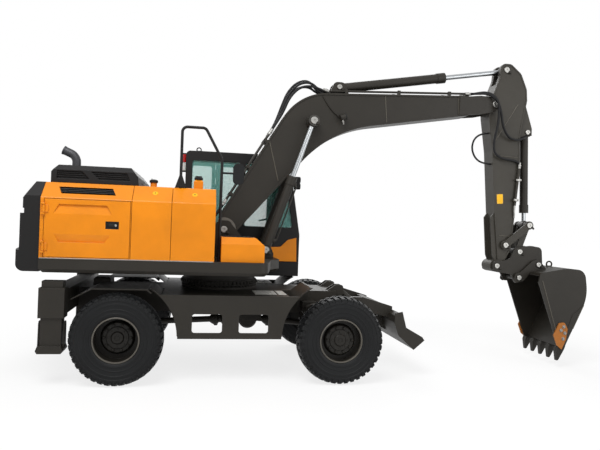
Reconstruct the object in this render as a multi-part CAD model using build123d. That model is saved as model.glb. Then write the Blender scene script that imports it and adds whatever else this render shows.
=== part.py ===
from build123d import *
import math
import os

# Wheeled excavator, millimetres, +X to the front, +Y to the left, +Z up.
# All sizes are measured from the swing axis and the ground. Each piece is
# moved by ROW_SHIFT at export, so that the machine stands over its own middle.

ROW_SHIFT = -1380

# Running clearances
SIDE_GAP = 6
PIN_PLAY = 0.6
DOOR_GAP = 5
GLAND = 60
CUT = 1

# Wheels
TYRE_R = 525
TYRE_W = 280
TYRE_SIDES = 44
SHOULDER = 36
RIM_R = 262
RIM_WALL = 12
RIM_LIP = 22
TRACK_HALF = 1105
WHEEL_Z = TYRE_R
REAR_AXLE_X = -1180
FRONT_AXLE_X = 1420
REAR_HUB_RECESS = 200
FRONT_HUB_RECESS = 100
HUB_R = 180
HUB_DEPTH = 70
DISC_T = 25
WHEEL_OUT = TRACK_HALF + TYRE_W / 2
WHEEL_IN = TRACK_HALF - TYRE_W / 2

# Axles and steering
AXLE_R = 85
DRUM_R = 150
DIFF_R = 170
DIFF_HALF = 120
DIFF_NOSE = 240
PINION_Z = WHEEL_Z + 20
KINGPIN_IN = 255
KINGPIN_Y = TRACK_HALF - KINGPIN_IN
KINGPIN_R = 30
YOKE_HALF = 70
YOKE_REACH = 165
YOKE_PLATE = 40
SPINDLE_R = 60
SPINDLE_LEN = 50
PAD_Z = WHEEL_Z + 90
STEER_ARM = 220
STEER_Z = WHEEL_Z - 45
STEER_ROD_R = 20
STEER_BARREL_R = 45
STEER_BARREL_HALF = 200
SHAFT_R = 40
FLANGE_R = 72

# Chassis
SPINE_HALF = 380
SPINE_BOTTOM = 740
CHASSIS_TOP = 1030
CHASSIS_BOTTOM = 520
SIDE_PLATE_Y = 1090
SIDE_PLATE_T = 28
REAR_ARCH_R = 665
FRONT_ARCH_R = 700
ARCH_T = 12
FENDER_Z = 1082
WINDOW_Z = (588, 810)
WINDOW_W = 350
WINDOW_LEFT = (-345, 202)

# Outriggers
SLEEVE = (-2020, -1745)
SLEEVE_Y = (1000, 1205)
SLEEVE_Z = (765, 1100)
SLEEVE_WALL = 25
LEG_Z = (440, 1175)

# Upper structure
SLEW_R = 495
SLEW_TOP = 1150
SKIRT_BOTTOM = 1270
SKIRT_ROUND = 40
DECK_TOP = 1430
BODY_HALF = 1220
BODY_REAR = -2030
BODY_TOP = 2280
BEVEL_Z = 2100
BEVEL_IN = 1000
BAY_FRONT = -1060
TANK_SPLIT = -617
TANK_FRONT = -120
TANK_INNER = -450
WALL = 40
PANEL_GAP = 5
EMBOSS = 22
CREASE_R = 25
SLAT_T = 9

# Counterweight
TAIL_X = -2435
TAIL_SIDE_X = -2270
TAIL_HALF = 1200
TAIL_BOTTOM = SKIRT_BOTTOM + 10
TAIL_STEPS = ((1513, 0), (1918, 32), (1976, 72), (2090, 58))
TAIL_FOOT = 80
TAIL_BROW = 135

# Engine hood
HOOD_BASE = BODY_TOP + DOOR_GAP
HOOD_BACK = -2000
HOOD_FRONT = -1020
HOOD_BROW = 55
HOOD_TOP = 2494
HOOD_HALF = 900
HOOD_WALL = 40
VENT_DEPTH = 25
VENT_SLATS = (20, 42, 64)
EXHAUST_R = 50

# Cab
CAB_REAR = -505
CAB_FRONT = 1140
CAB_BROW = 950
CAB_CHIN = 1750
CAB_RIGHT = 345
CAB_LEFT = 1220
CAB_BOTTOM = 1155
CAB_SEAT = 1290
CAB_FLOOR = 1430
CAB_TOP = 2880
CAB_WALL = 55
CAB_ROUND = 60
PILLAR = 90
SILL = 1850
HEAD = CAB_TOP - 130
GLASS_T = 6
GLASS_IN = 20
PANE_R = 35
FRONT_SILL = 1560
DOOR_SPAN = (-60, 820)
CAB_DOOR_Z = (CAB_FLOOR, CAB_TOP - 90)

# Boom, arm and bucket pins in the side view
BOOM_FOOT = (30, 1800)
BOOM_ROD_PIN = (1172, 3300)
BOOM_BASE_PIN = (580, 1550)
ARM_PIVOT = (3840, 3731)
ARM_TAIL_PIN = (1550, 3820)
ARM_ROD_PIN = (4020, 4250)
BUCKET_BASE_PIN = (4400, 3373)
ROCKER_PIN = (4075, 1712)
LINK_TOP_PIN = (4446, 2010)
LINK_LOW_PIN = (4305, 1622)
ARM_TIP = (3955, 1411)
BUCKET_PIN_A = (4283, 1250)
BUCKET_PIN_B = (4582, 1444)

BOOM_KNEE = (983, 3693)
BOOM_NOSE = (3440, 3828)
BOOM_HALF = 150
BOOM_RIM = 24
WEB_IN = 10
ARM_HALF = 130
EAR_GAP = 10
EAR_IN = BOOM_HALF + EAR_GAP
EAR_OUT = EAR_IN + 35
FORK_T = 30
LINK_WAIST = 0.8
BOOM_CYL_Y = 262
LINE_R = 15
LINE_Y = 122
LINE_RISE = 34
BUCKET_HALF = 460
BUCKET_WALL = 25
TOOTH_HALF = 45
TOOTH_TIP = 26
CUTTER_T = 20

# Blade
BLADE_PIVOT = (1150, 800)
BLADE_BASE_PIN = (1590, 1040)
BLADE_ROD_PIN = (2120, 640)
BLADE_HALF = 920
BLADE_ARM_Y = 600
BLADE_ARM_T = (45, 40)
BLADE_CYL_Y = 260
LUG_IN = 51
LUG_T = 24

# Hinges of the doors and the hood
HINGE_R = 14
HINGE_PIN_R = 7
HINGE_HALF = 40
HINGE_OUT = 17
HINGE_END = 110
HINGE_LEAF = 45

nodes = {}


def side_plane(y):
    return Plane(origin=(0, y, 0), x_dir=(1, 0, 0), z_dir=(0, -1, 0))


def box(x0, x1, y0, y1, z0, z1):
    middle = ((x0 + x1) / 2, (y0 + y1) / 2, (z0 + z1) / 2)
    return Pos(*middle) * Box(x1 - x0, y1 - y0, z1 - z0)


def outline(points, rounds=None):
    # A closed outline, with the corners that rounds names by their place in the list made round
    face = make_face(Polyline(*points, close=True))
    for place, radius in (rounds or {}).items():
        corner = face.vertices().sort_by_distance((*points[place], 0))[0]
        face = fillet(corner, radius)
    return face


def prism_xz(points, y0, y1, rounds=None):
    return extrude(side_plane(y0) * outline(points, rounds), amount=y0 - y1)


def prism_xy(points, z0, z1, rounds=None):
    return extrude(Plane.XY.offset(z0) * outline(points, rounds), amount=z1 - z0)


def prism_yz(points, x0, x1, rounds=None):
    plane = Plane(origin=(x0, 0, 0), x_dir=(0, 1, 0), z_dir=(1, 0, 0))
    return extrude(plane * outline(points, rounds), amount=x1 - x0)


def pin_y(pin, radius, y0, y1):
    face = side_plane(y0) * Pos(*pin) * Circle(radius)
    return extrude(face, amount=y0 - y1)


def rod(start, end, radius):
    direction = Vector(*end) - Vector(*start)
    plane = Plane(origin=start, z_dir=direction)
    return extrude(plane * Circle(radius), amount=direction.length)


def tube(points, radius, bend):
    path = FilletPolyline(*points, radius=bend)
    return sweep(Plane(origin=path @ 0, z_dir=path % 0) * Circle(radius), path=path)


def mirrored(shape):
    return mirror(shape, about=Plane.XZ)


def both_sides(shape):
    return [shape, mirrored(shape)]


def joined(*shapes):
    flat = []
    for shape in shapes:
        flat.extend(shape if isinstance(shape, list) else [shape])
    return flat[0].fuse(*flat[1:])


def along(start, end, distance):
    share = distance / math.dist(start, end)
    return tuple(a + (b - a) * share for a, b in zip(start, end))


def on_line(base, far, y, distance):
    x, z = along(base, far, distance)
    return x, y, z


def cylinder_barrel(base, far, y, length, radius, eye_r, eye_half, rod_r):
    # A barrel with its base eye, a thicker head and a stepped well for its rod
    start = on_line(base, far, y, eye_r * 0.85)
    gland = on_line(base, far, y, length)
    shape = joined(
        pin_y(base, eye_r, y - eye_half, y + eye_half),
        rod(start, gland, radius),
        rod(on_line(base, far, y, length - 2 * GLAND), gland, radius + 8),
        rod(on_line(base, far, y, length - GLAND / 3), gland, radius + 3))
    well = on_line(base, far, y, eye_r * 1.6)
    shape = shape - rod(well, on_line(base, far, y, length - GLAND), rod_r + 3)
    return shape - rod(well, on_line(base, far, y, length + CUT), rod_r + PIN_PLAY)


def cylinder_rod(base, far, y, inner_start, radius, eye_r, eye_half):
    end = on_line(base, far, y, math.dist(base, far) - eye_r * 0.5)
    return joined(
        rod(on_line(base, far, y, inner_start), end, radius),
        pin_y(far, eye_r, y - eye_half, y + eye_half))


def bored(shape, pin, radius, half):
    return shape - pin_y(pin, radius + PIN_PLAY, -half, half)


def box_section(points, rounds, half, rim, web_in):
    # A welded beam: side webs set in by web_in between plates that run round the rim
    face = outline(points, rounds)
    beam = extrude(side_plane(-half) * face, amount=-2 * half)
    inside = offset(face, amount=-rim)
    pocket = extrude(side_plane(half - web_in) * inside, amount=-web_in - CUT)
    return beam - pocket - mirrored(pocket)


# Chassis weldment: spine, deck, side plates with windows, arches and fenders

def arch_plate(center_x, radius, x0, x1, top):
    inner = SPINE_HALF - CUT
    ring = pin_y((center_x, WHEEL_Z), radius + ARCH_T, inner, SIDE_PLATE_Y)
    ring = ring - pin_y((center_x, WHEEL_Z), radius, inner - CUT, SIDE_PLATE_Y + CUT)
    return ring & box(x0, x1, inner, SIDE_PLATE_Y, CHASSIS_BOTTOM + 30, top)


def side_plate():
    inner = SIDE_PLATE_Y - SIDE_PLATE_T
    plate = box(REAR_AXLE_X, FRONT_AXLE_X, inner, SIDE_PLATE_Y, CHASSIS_BOTTOM, CHASSIS_TOP)
    for axle_x, radius in ((REAR_AXLE_X, REAR_ARCH_R), (FRONT_AXLE_X, FRONT_ARCH_R)):
        plate = plate - pin_y((axle_x, WHEEL_Z), radius + ARCH_T / 2, inner - CUT, SIDE_PLATE_Y + CUT)
    for left in WINDOW_LEFT:
        window = box(left, left + WINDOW_W, inner - CUT, SIDE_PLATE_Y + CUT, *WINDOW_Z)
        plate = plate - fillet(window.edges().filter_by(Axis.Y), 30)
    return plate


rear_arch = arch_plate(REAR_AXLE_X, REAR_ARCH_R, REAR_AXLE_X + 150, 0, FENDER_Z + ARCH_T)
front_arch = arch_plate(FRONT_AXLE_X, FRONT_ARCH_R, 0, FRONT_AXLE_X - 330, 1140)
rear_fender = prism_xz(
    [(-820, FENDER_Z - 40), (-870, FENDER_Z), (-1470, FENDER_Z), (-1690, 965), (-1690, 977),
     (-1470, FENDER_Z + ARCH_T), (-865, FENDER_Z + ARCH_T), (-810, FENDER_Z - 30)],
    SPINE_HALF - CUT, SIDE_PLATE_Y + 50)
spine = box(-1760, 1540, -SPINE_HALF, SPINE_HALF, SPINE_BOTTOM, CHASSIS_TOP)
REAR_FACE = -1960
rear_beam = box(REAR_FACE, SLEEVE[1], -SLEEVE_Y[0], SLEEVE_Y[0], 800, 1075)
deck_half = SIDE_PLATE_Y - SIDE_PLATE_T / 2
deck_plate = box(-700, 800, -deck_half, deck_half, CHASSIS_TOP - 22, CHASSIS_TOP)
valve_block = box(-1600, -1390, -180, 180, CHASSIS_TOP - CUT, CAB_BOTTOM - 4 * DOOR_GAP)
valve_block = chamfer(valve_block.edges().group_by(Axis.Z)[-1], 20)
blade_ears = both_sides(prism_xz(
    [(1060, 770), (1060, 900), (1240, 900), (1240, 760), (1190, 720), (1110, 720)],
    SPINE_HALF - CUT, BLADE_ARM_Y - BLADE_ARM_T[0] - 10))
blade_pins = both_sides(pin_y(BLADE_PIVOT, 45, BLADE_ARM_Y - 100, BLADE_ARM_Y + 60))
LUG_SIDES = (BLADE_CYL_Y - LUG_IN - LUG_T, BLADE_CYL_Y + LUG_IN)
nose_ears = []
for y0 in LUG_SIDES:
    nose_ears += both_sides(prism_xz(
        [(1400, 1010), (1540, 1110), (1640, 1110), (1660, 1000), (1530, 860)], y0, y0 + LUG_T, {2: 35}))
nose_pins = both_sides(pin_y(BLADE_BASE_PIN, 28, LUG_SIDES[0] + 5, LUG_SIDES[1] + LUG_T - 5))
axle_hangers = []
for axle_x in (REAR_AXLE_X, FRONT_AXLE_X):
    axle_hangers += both_sides(box(axle_x - 90, axle_x + 90, 250, 330, PAD_Z, SPINE_BOTTOM + CUT))
TOW_PIN = (-2085, 870)
TOW_PIN_R = 26
TOW_END = TOW_PIN[0] - 50
TOW_HALF = 22
tow_eye = prism_xz(
    [(TOW_END, 820), (TOW_END, 920), (REAR_FACE, 940), (REAR_FACE, 800)],
    -TOW_HALF, TOW_HALF, {0: 40, 1: 40})
tow_eye = tow_eye - pin_y(TOW_PIN, TOW_PIN_R, -TOW_HALF - CUT, TOW_HALF + CUT)

nodes["chassis_frame"] = joined(
    spine, rear_beam, deck_plate, valve_block, both_sides(side_plate()), both_sides(rear_arch),
    both_sides(front_arch), both_sides(rear_fender), blade_ears, blade_pins, nose_ears, nose_pins,
    axle_hangers)
nodes["tow_eye"] = tow_eye

slew = Pos(0, 0, (CHASSIS_TOP + SLEW_TOP) / 2) * Cylinder(SLEW_R - 40, SLEW_TOP - CHASSIS_TOP)
upper_race = Pos(0, 0, SLEW_TOP - 35) * Cylinder(SLEW_R, 70)
lower_race = Pos(0, 0, CHASSIS_TOP + 15) * Cylinder(SLEW_R, 30)
nodes["slew_ring"] = slew.fuse(upper_race, lower_race)


# Axles, drive line and steering

def axle_tube(axle_x, half, inward):
    nose_x = axle_x + inward * DIFF_NOSE
    bowl = rod((axle_x - inward * DIFF_HALF, 0, WHEEL_Z), (axle_x + inward * DIFF_HALF, 0, WHEEL_Z), DIFF_R)
    bowl = chamfer(bowl.edges().filter_by(GeomType.CIRCLE), 60)
    nose = rod((axle_x, 0, PINION_Z), (nose_x, 0, PINION_Z), 80)
    pads = both_sides(box(axle_x - 90, axle_x + 90, 240, 340, WHEEL_Z, PAD_Z))
    return joined(pin_y((axle_x, WHEEL_Z), AXLE_R, -half, half), bowl, nose, pads)


REAR_HUB_BACK = WHEEL_OUT - REAR_HUB_RECESS - HUB_DEPTH
DRUM_BACK = REAR_HUB_BACK - SIDE_GAP - 90
nodes["rear_axle"] = joined(
    axle_tube(REAR_AXLE_X, DRUM_BACK + 20, 1),
    both_sides(pin_y((REAR_AXLE_X, WHEEL_Z), DRUM_R, DRUM_BACK, REAR_HUB_BACK - SIDE_GAP)),
    both_sides(pin_y((REAR_AXLE_X, WHEEL_Z), SPINDLE_R, DRUM_BACK, REAR_HUB_BACK + SPINDLE_LEN - 5)))

YOKE_BACK = KINGPIN_Y - 190
YOKE_END = KINGPIN_Y + 65
yoke_x = (FRONT_AXLE_X - YOKE_HALF, FRONT_AXLE_X + YOKE_HALF)
yoke_top = (WHEEL_Z + YOKE_REACH - YOKE_PLATE, WHEEL_Z + YOKE_REACH)
yoke_low = (WHEEL_Z - YOKE_REACH, WHEEL_Z - YOKE_REACH + YOKE_PLATE)
yoke = joined(
    box(*yoke_x, YOKE_BACK, YOKE_BACK + 60, yoke_low[0], yoke_top[1]),
    box(*yoke_x, YOKE_BACK, YOKE_END, *yoke_top),
    box(*yoke_x, YOKE_BACK, YOKE_END, *yoke_low))
kingpin = Pos(FRONT_AXLE_X, KINGPIN_Y, WHEEL_Z) * Cylinder(KINGPIN_R, 2 * YOKE_REACH)
nodes["front_axle"] = joined(
    axle_tube(FRONT_AXLE_X, YOKE_BACK + 40, -1), both_sides(yoke), both_sides(kingpin))

STEER_X = FRONT_AXLE_X + STEER_ARM
barrel_ends = ((STEER_X, -STEER_BARREL_HALF, STEER_Z), (STEER_X, STEER_BARREL_HALF, STEER_Z))
steer_barrel = rod(*barrel_ends, STEER_BARREL_R)
steer_barrel = steer_barrel - rod(
    (STEER_X, -STEER_BARREL_HALF - CUT, STEER_Z), (STEER_X, STEER_BARREL_HALF + CUT, STEER_Z),
    STEER_ROD_R + PIN_PLAY)
cradle = both_sides(box(FRONT_AXLE_X + AXLE_R - 25, STEER_X - 25, 120, 160, STEER_Z - 20, STEER_Z + 10))
nodes["steering_cylinder"] = joined(steer_barrel, cradle) - nodes["front_axle"]
TIE_END = KINGPIN_Y - 40
nodes["steering_rod"] = rod((STEER_X, -TIE_END, STEER_Z), (STEER_X, TIE_END, STEER_Z), STEER_ROD_R)

GEAR_Z = 600
gearbox = joined(
    box(210, 560, -240, 240, GEAR_Z, SPINE_BOTTOM - CUT),
    chamfer(pin_y((390, GEAR_Z + 10), 125, -150, 150).edges().filter_by(GeomType.CIRCLE), 25))
nodes["gearbox"] = gearbox


def drive_shaft(gear_x, axle_x, inward):
    nose = (axle_x + inward * DIFF_NOSE, 0, PINION_Z)
    flange = (axle_x + inward * (DIFF_NOSE + 60), 0, PINION_Z + 2)
    return joined(rod(nose, (gear_x, 0, GEAR_Z), SHAFT_R), rod(nose, flange, FLANGE_R))


nodes["drive_shafts"] = Compound([
    drive_shaft(240, REAR_AXLE_X, 1) - gearbox - nodes["rear_axle"],
    drive_shaft(540, FRONT_AXLE_X, -1) - gearbox - nodes["front_axle"]])


def knuckle():
    stub_end = WHEEL_OUT - FRONT_HUB_RECESS - HUB_DEPTH - SIDE_GAP
    stub = pin_y((FRONT_AXLE_X, WHEEL_Z), 95, KINGPIN_Y, stub_end)
    post_half = YOKE_REACH - YOKE_PLATE - DOOR_GAP
    post = Pos(FRONT_AXLE_X, KINGPIN_Y, WHEEL_Z) * Cylinder(YOKE_HALF, 2 * post_half)
    arm_end = FRONT_AXLE_X + STEER_ARM + 30
    arm = prism_xy(
        [(FRONT_AXLE_X, KINGPIN_Y - 50), (arm_end, KINGPIN_Y - 70), (arm_end, KINGPIN_Y - 10),
         (FRONT_AXLE_X, KINGPIN_Y + 50)], WHEEL_Z - 20, WHEEL_Z + 20, {1: 25, 2: 25})
    spindle_end = stub_end + SIDE_GAP + SPINDLE_LEN - 5
    spindle = pin_y((FRONT_AXLE_X, WHEEL_Z), SPINDLE_R, KINGPIN_Y + 50, spindle_end)
    bore = Pos(FRONT_AXLE_X, KINGPIN_Y, WHEEL_Z) * Cylinder(KINGPIN_R + PIN_PLAY, 2 * YOKE_REACH)
    return joined(stub, post, arm, spindle) - bore


nodes["knuckle_left"] = knuckle()
nodes["knuckle_right"] = mirrored(knuckle())


# Wheels: a tyre with flat-sided rings, so that it stays light, on a dished rim

def tyre(axle_x):
    rings = [
        (RIM_R + 35, WHEEL_IN + 8), (RIM_R + 120, WHEEL_IN), (TYRE_R - 60, WHEEL_IN + 10),
        (TYRE_R, WHEEL_IN + SHOULDER), (TYRE_R, WHEEL_OUT - SHOULDER), (TYRE_R - 60, WHEEL_OUT - 10),
        (RIM_R + 120, WHEEL_OUT), (RIM_R + 35, WHEEL_OUT - 8)]
    half_side = 180 / TYRE_SIDES
    faces = [
        side_plane(y) * Pos(axle_x, WHEEL_Z)
        * RegularPolygon(radius, TYRE_SIDES, major_radius=False, rotation=half_side)
        for radius, y in rings]
    return loft(faces, ruled=True) - pin_y((axle_x, WHEEL_Z), RIM_R, WHEEL_IN - CUT, WHEEL_OUT + CUT)


def rim(axle_x, recess):
    face_y = WHEEL_OUT - recess
    back = face_y - HUB_DEPTH
    inner_r = RIM_R - RIM_WALL
    bore_r = SPINDLE_R + PIN_PLAY
    half_section = [
        (0, back + SPINDLE_LEN), (bore_r, back + SPINDLE_LEN), (bore_r, back), (inner_r, back),
        (inner_r, WHEEL_IN + RIM_LIP), (RIM_R, WHEEL_IN + RIM_LIP), (RIM_R, WHEEL_OUT - RIM_LIP),
        (inner_r, WHEEL_OUT - RIM_LIP), (inner_r, back + DISC_T), (HUB_R + 15, back + DISC_T),
        (HUB_R, face_y - 10), (HUB_R - 12, face_y), (0, face_y)]
    return Pos(axle_x, 0, WHEEL_Z) * revolve(outline(half_section), axis=Axis.Y)


WHEELS = (("rear", REAR_AXLE_X, REAR_HUB_RECESS), ("front", FRONT_AXLE_X, FRONT_HUB_RECESS))
for end, axle_x, recess in WHEELS:
    nodes["tyre_%s_left" % end] = tyre(axle_x)
    nodes["rim_%s_left" % end] = rim(axle_x, recess)
    nodes["tyre_%s_right" % end] = mirrored(tyre(axle_x))
    nodes["rim_%s_right" % end] = mirrored(rim(axle_x, recess))

# Rear outriggers: a sleeve on the chassis and a leg that slides down in it

well_x = (SLEEVE[0] + SLEEVE_WALL, SLEEVE[1] - SLEEVE_WALL)
well_y = (SLEEVE_Y[0] + SLEEVE_WALL, SLEEVE_Y[1] - SLEEVE_WALL)
sleeve = box(*SLEEVE, *SLEEVE_Y, *SLEEVE_Z) - box(*well_x, *well_y, SLEEVE_Z[0] - CUT, SLEEVE_Z[1] + CUT)
nodes["outrigger_sleeves"] = Compound(both_sides(sleeve))
leg = box(well_x[0] + PIN_PLAY, well_x[1] - PIN_PLAY, well_y[0] + PIN_PLAY, well_y[1] - PIN_PLAY, *LEG_Z)
foot = prism_xz(
    [(SLEEVE[0] - 15, 400), (SLEEVE[0] + 5, 370), (SLEEVE[1] - 20, 370), (SLEEVE[1], 400),
     (SLEEVE[1] - 20, 455), (SLEEVE[0] + 5, 455)], SLEEVE_Y[0] - 60, SLEEVE_Y[1])
nodes["outrigger_leg_left"] = joined(leg, foot)
nodes["outrigger_leg_right"] = mirrored(joined(leg, foot))

# Dozer blade with its two lift cylinders

mouldboard = prism_xz(
    [(2243, 829), (2275, 800), (2340, 590), (2585, 480), (2448, 360), (2240, 540), (2190, 700),
     (2190, 790)], -BLADE_HALF, BLADE_HALF, {2: 300, 5: 250})
blade_arm = prism_xz(
    [(1080, 760), (1080, 850), (1160, 880), (1720, 985), (1840, 985), (2240, 870), (2240, 720), (1850, 800),
     (1600, 810), (1250, 730), (1130, 725)], BLADE_ARM_Y - BLADE_ARM_T[0], BLADE_ARM_Y + BLADE_ARM_T[1])
blade_arm = blade_arm - pin_y(BLADE_PIVOT, 45 + PIN_PLAY, BLADE_ARM_Y - 200, BLADE_ARM_Y + 200)
cross = box(2070, 2150, -BLADE_ARM_Y, BLADE_ARM_Y, 830, 890)
end_plate = prism_xz(
    [(2190, 820), (2285, 840), (2340, 640), (2560, 520), (2590, 478), (2448, 356), (2240, 540),
     (2180, 700)], BLADE_HALF - 16, BLADE_HALF)
rod_ears = []
for y0 in LUG_SIDES:
    rod_ears += both_sides(prism_xz(
        [(2080, 590), (2070, 650), (2100, 690), (2210, 740), (2300, 500)], y0, y0 + LUG_T))
nodes["blade"] = joined(mouldboard, both_sides(blade_arm), cross, both_sides(end_plate), rod_ears)
blade_barrel = cylinder_barrel(BLADE_BASE_PIN, BLADE_ROD_PIN, BLADE_CYL_Y, 500, 44, 45, 42, 22)
blade_barrel = blade_barrel - pin_y(BLADE_BASE_PIN, 28 + PIN_PLAY, 0, 2 * BLADE_CYL_Y)
nodes["blade_cylinder_barrels"] = Compound(both_sides(blade_barrel))
nodes["blade_cylinder_rods"] = Compound(both_sides(
    cylinder_rod(BLADE_BASE_PIN, BLADE_ROD_PIN, BLADE_CYL_Y, 300, 22, 38, 40)))

# Upper frame: deck with skirts, boom ears and pins

skirt_outer = prism_xy(
    [(BODY_REAR, -BODY_HALF), (510, -BODY_HALF), (620, -560), (760, -330), (760, CAB_RIGHT - 20),
     (CAB_REAR - 20, CAB_RIGHT - 20), (CAB_REAR - 20, BODY_HALF), (BODY_REAR, BODY_HALF)],
    SKIRT_BOTTOM, DECK_TOP, {1: 120})
skirt_outer = chamfer(skirt_outer.edges().group_by(Axis.Z)[0], SKIRT_ROUND)
skirt_well = prism_xy(
    [(BODY_REAR + 60, -BODY_HALF + 60), (420, -BODY_HALF + 60), (520, -600), (CAB_REAR - 100, -600),
     (CAB_REAR - 100, BODY_HALF - 60), (BODY_REAR + 60, BODY_HALF - 60)], SKIRT_BOTTOM - CUT, DECK_TOP - 40)
center_bottom = SLEW_TOP + PIN_PLAY
center = Pos(0, 0, (center_bottom + CAB_SEAT) / 2) * Cylinder(SLEW_R - 20, CAB_SEAT - center_bottom)
boom_ear = prism_xz(
    [(-420, DECK_TOP - CUT), (-90, 1850), (-40, 1920), (100, 1920), (150, 1850), (330, 1640), (560, 1640),
     (660, 1590), (700, 1500), (700, DECK_TOP - CUT)], EAR_IN, EAR_OUT, {2: 70, 3: 70, 5: 120})
nodes["swing_frame"] = joined(
    skirt_outer - skirt_well, center, both_sides(boom_ear),
    pin_y(BOOM_FOOT, 45, -EAR_OUT - 12, EAR_OUT + 12),
    both_sides(pin_y(BOOM_BASE_PIN, 40, EAR_IN, BOOM_CYL_Y + 62)),
    both_sides(pin_y(BOOM_BASE_PIN, 55, BOOM_CYL_Y + 56, BOOM_CYL_Y + 64)))


# Counterweight: curved in plan, with stepped bands up its back

def tail_plan(z, inset):
    side_x = TAIL_SIDE_X + inset
    back = ThreePointArc((side_x, -TAIL_HALF), (TAIL_X + inset, 0), (side_x, TAIL_HALF))
    front = Polyline(
        (side_x, TAIL_HALF), (BODY_REAR, TAIL_HALF), (BODY_REAR, -TAIL_HALF), (side_x, -TAIL_HALF))
    return Plane.XY.offset(z) * make_face([back, front])


bands = []
band_bottom = TAIL_BOTTOM
for band_top, inset in TAIL_STEPS:
    bands.append(extrude(tail_plan(band_bottom, inset), amount=band_top - band_bottom))
    band_bottom = band_top
foot_edge = bands[0].edges().filter_by(GeomType.CIRCLE).group_by(Axis.Z)[0]
bands[0] = fillet(foot_edge, TAIL_FOOT)
brow = loft([tail_plan(band_bottom, inset), tail_plan(BODY_TOP, inset + TAIL_BROW)], ruled=True)
weight = joined(*bands, brow)
tail_bevel = prism_yz(
    [(BODY_HALF + CUT, BEVEL_Z), (BEVEL_IN, BODY_TOP + CUT), (BODY_HALF + CUT, BODY_TOP + CUT)],
    TAIL_X - 100, BODY_REAR)
nodes["counterweight"] = weight - tail_bevel - mirrored(tail_bevel)


# Hinges: a pin between two lugs on the fixed side, a tube on the moving side

def fixed_pin(axis, z, play):
    return Pos(*axis, z) * Cylinder(HINGE_PIN_R + play, 2 * HINGE_HALF + 50)


def fixed_hinge(axis, z, outward):
    face = axis[1] - outward * HINGE_OUT
    parts = [fixed_pin(axis, z, 0)]
    for z0 in (z - HINGE_HALF - 25, z + HINGE_HALF + 5):
        y0, y1 = sorted((face - outward * 15, axis[1] + outward * HINGE_R))
        parts.append(box(axis[0] - 30, axis[0] - 4, y0, y1, z0, z0 + 20))
        y0, y1 = sorted((axis[1] - outward * 4, axis[1] + outward * HINGE_R))
        parts.append(box(axis[0] - 10, axis[0] + 12, y0, y1, z0, z0 + 20))
    return joined(*parts)


def moving_hinge(axis, z, outward):
    face = axis[1] - outward * HINGE_OUT
    y0, y1 = sorted((face - outward * 4, face + outward * 9))
    return joined(
        Pos(*axis, z) * Cylinder(HINGE_R, 2 * HINGE_HALF),
        box(axis[0] + 3, axis[0] + HINGE_LEAF, y0, y1, z - HINGE_HALF, z + HINGE_HALF))


# Body panels share one section: upright sides with a bevel up to a flat top

def body_section(x0, x1, right, left):
    points = [(right, DECK_TOP), (left, DECK_TOP)]
    if left > BEVEL_IN:
        points += [(left, BEVEL_Z), (BEVEL_IN, BODY_TOP)]
    else:
        points += [(left, BODY_TOP)]
    if right < -BEVEL_IN:
        points += [(-BEVEL_IN, BODY_TOP), (right, BEVEL_Z)]
    else:
        points += [(right, BODY_TOP)]
    creases = [place for place, (y, z) in enumerate(points) if z == BEVEL_Z or abs(y) == BEVEL_IN]
    return prism_yz(points, x0, x1, dict.fromkeys(creases, CREASE_R))


DOOR_X = (BODY_REAR + 45, BAY_FRONT - 12)
DOOR_Z = (DECK_TOP + 15, BEVEL_Z - 15)
SIDE_HINGE = (DOOR_X[0] - DOOR_GAP / 2, -BODY_HALF - HINGE_OUT)
SIDE_HINGE_Z = (DOOR_Z[0] + HINGE_END, DOOR_Z[1] - HINGE_END)
bay_x = (BODY_REAR + WALL, BAY_FRONT - WALL)
bay = body_section(BODY_REAR + 3, BAY_FRONT, -BODY_HALF, BODY_HALF)
bay = bay - box(*bay_x, -BEVEL_IN + 20, BEVEL_IN - 20, DECK_TOP - CUT, BODY_TOP - WALL)
bay = bay - box(*bay_x, -BODY_HALF + WALL, BODY_HALF - WALL, DECK_TOP - CUT, BEVEL_Z - 30)
bay = bay - box(BODY_REAR + 120, BAY_FRONT - 90, -780, 780, BODY_TOP - WALL - CUT, BODY_TOP + CUT)
doorway = box(
    DOOR_X[0] - DOOR_GAP, DOOR_X[1] + DOOR_GAP, -BODY_HALF - CUT, -BODY_HALF + WALL + CUT,
    DOOR_Z[0] - DOOR_GAP, DOOR_Z[1] + DOOR_GAP)
bay = bay - doorway - mirrored(doorway)

# A slot with three slats in each bevel over the doors
slot_points = [(-1871, 2229), (-1288, 2229), (-1241, 2150), (-1826, 2150)]
slot = prism_xz(slot_points, -BODY_HALF, -BEVEL_IN)
skin = prism_yz(
    [(-BODY_HALF, BEVEL_Z), (-BEVEL_IN, BODY_TOP), (-BEVEL_IN + EMBOSS, BODY_TOP - EMBOSS),
     (-BODY_HALF + EMBOSS, BEVEL_Z - EMBOSS)], BODY_REAR, BAY_FRONT)
slot = slot & skin
slats = [slot & box(*bay_x, -BODY_HALF, -BEVEL_IN, z, z + SLAT_T) for z in (2166, 2185, 2204)]
bay = bay - slot - mirrored(slot)
bay = joined(bay, slats, [mirrored(slat) for slat in slats])
for z in SIDE_HINGE_Z:
    bay = joined(bay, both_sides(fixed_hinge(SIDE_HINGE, z, -1)))
nodes["engine_bay"] = bay
nodes["engine"] = box(BODY_REAR + 120, BAY_FRONT - 120, -700, 700, DECK_TOP, BODY_TOP - 130)


# Side doors: two scooped facets and a latch recess in each

def scoop(points, deep_z, flush_z):
    # Deepest at deep_z, running out to the door's face at flush_z
    wedge = prism_yz(
        [(-BODY_HALF, flush_z), (-BODY_HALF + EMBOSS, deep_z), (-BODY_HALF - CUT, deep_z),
         (-BODY_HALF - CUT, flush_z)], *DOOR_X)
    return prism_xz(points, -BODY_HALF - CUT, -BODY_HALF + EMBOSS) & wedge


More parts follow.
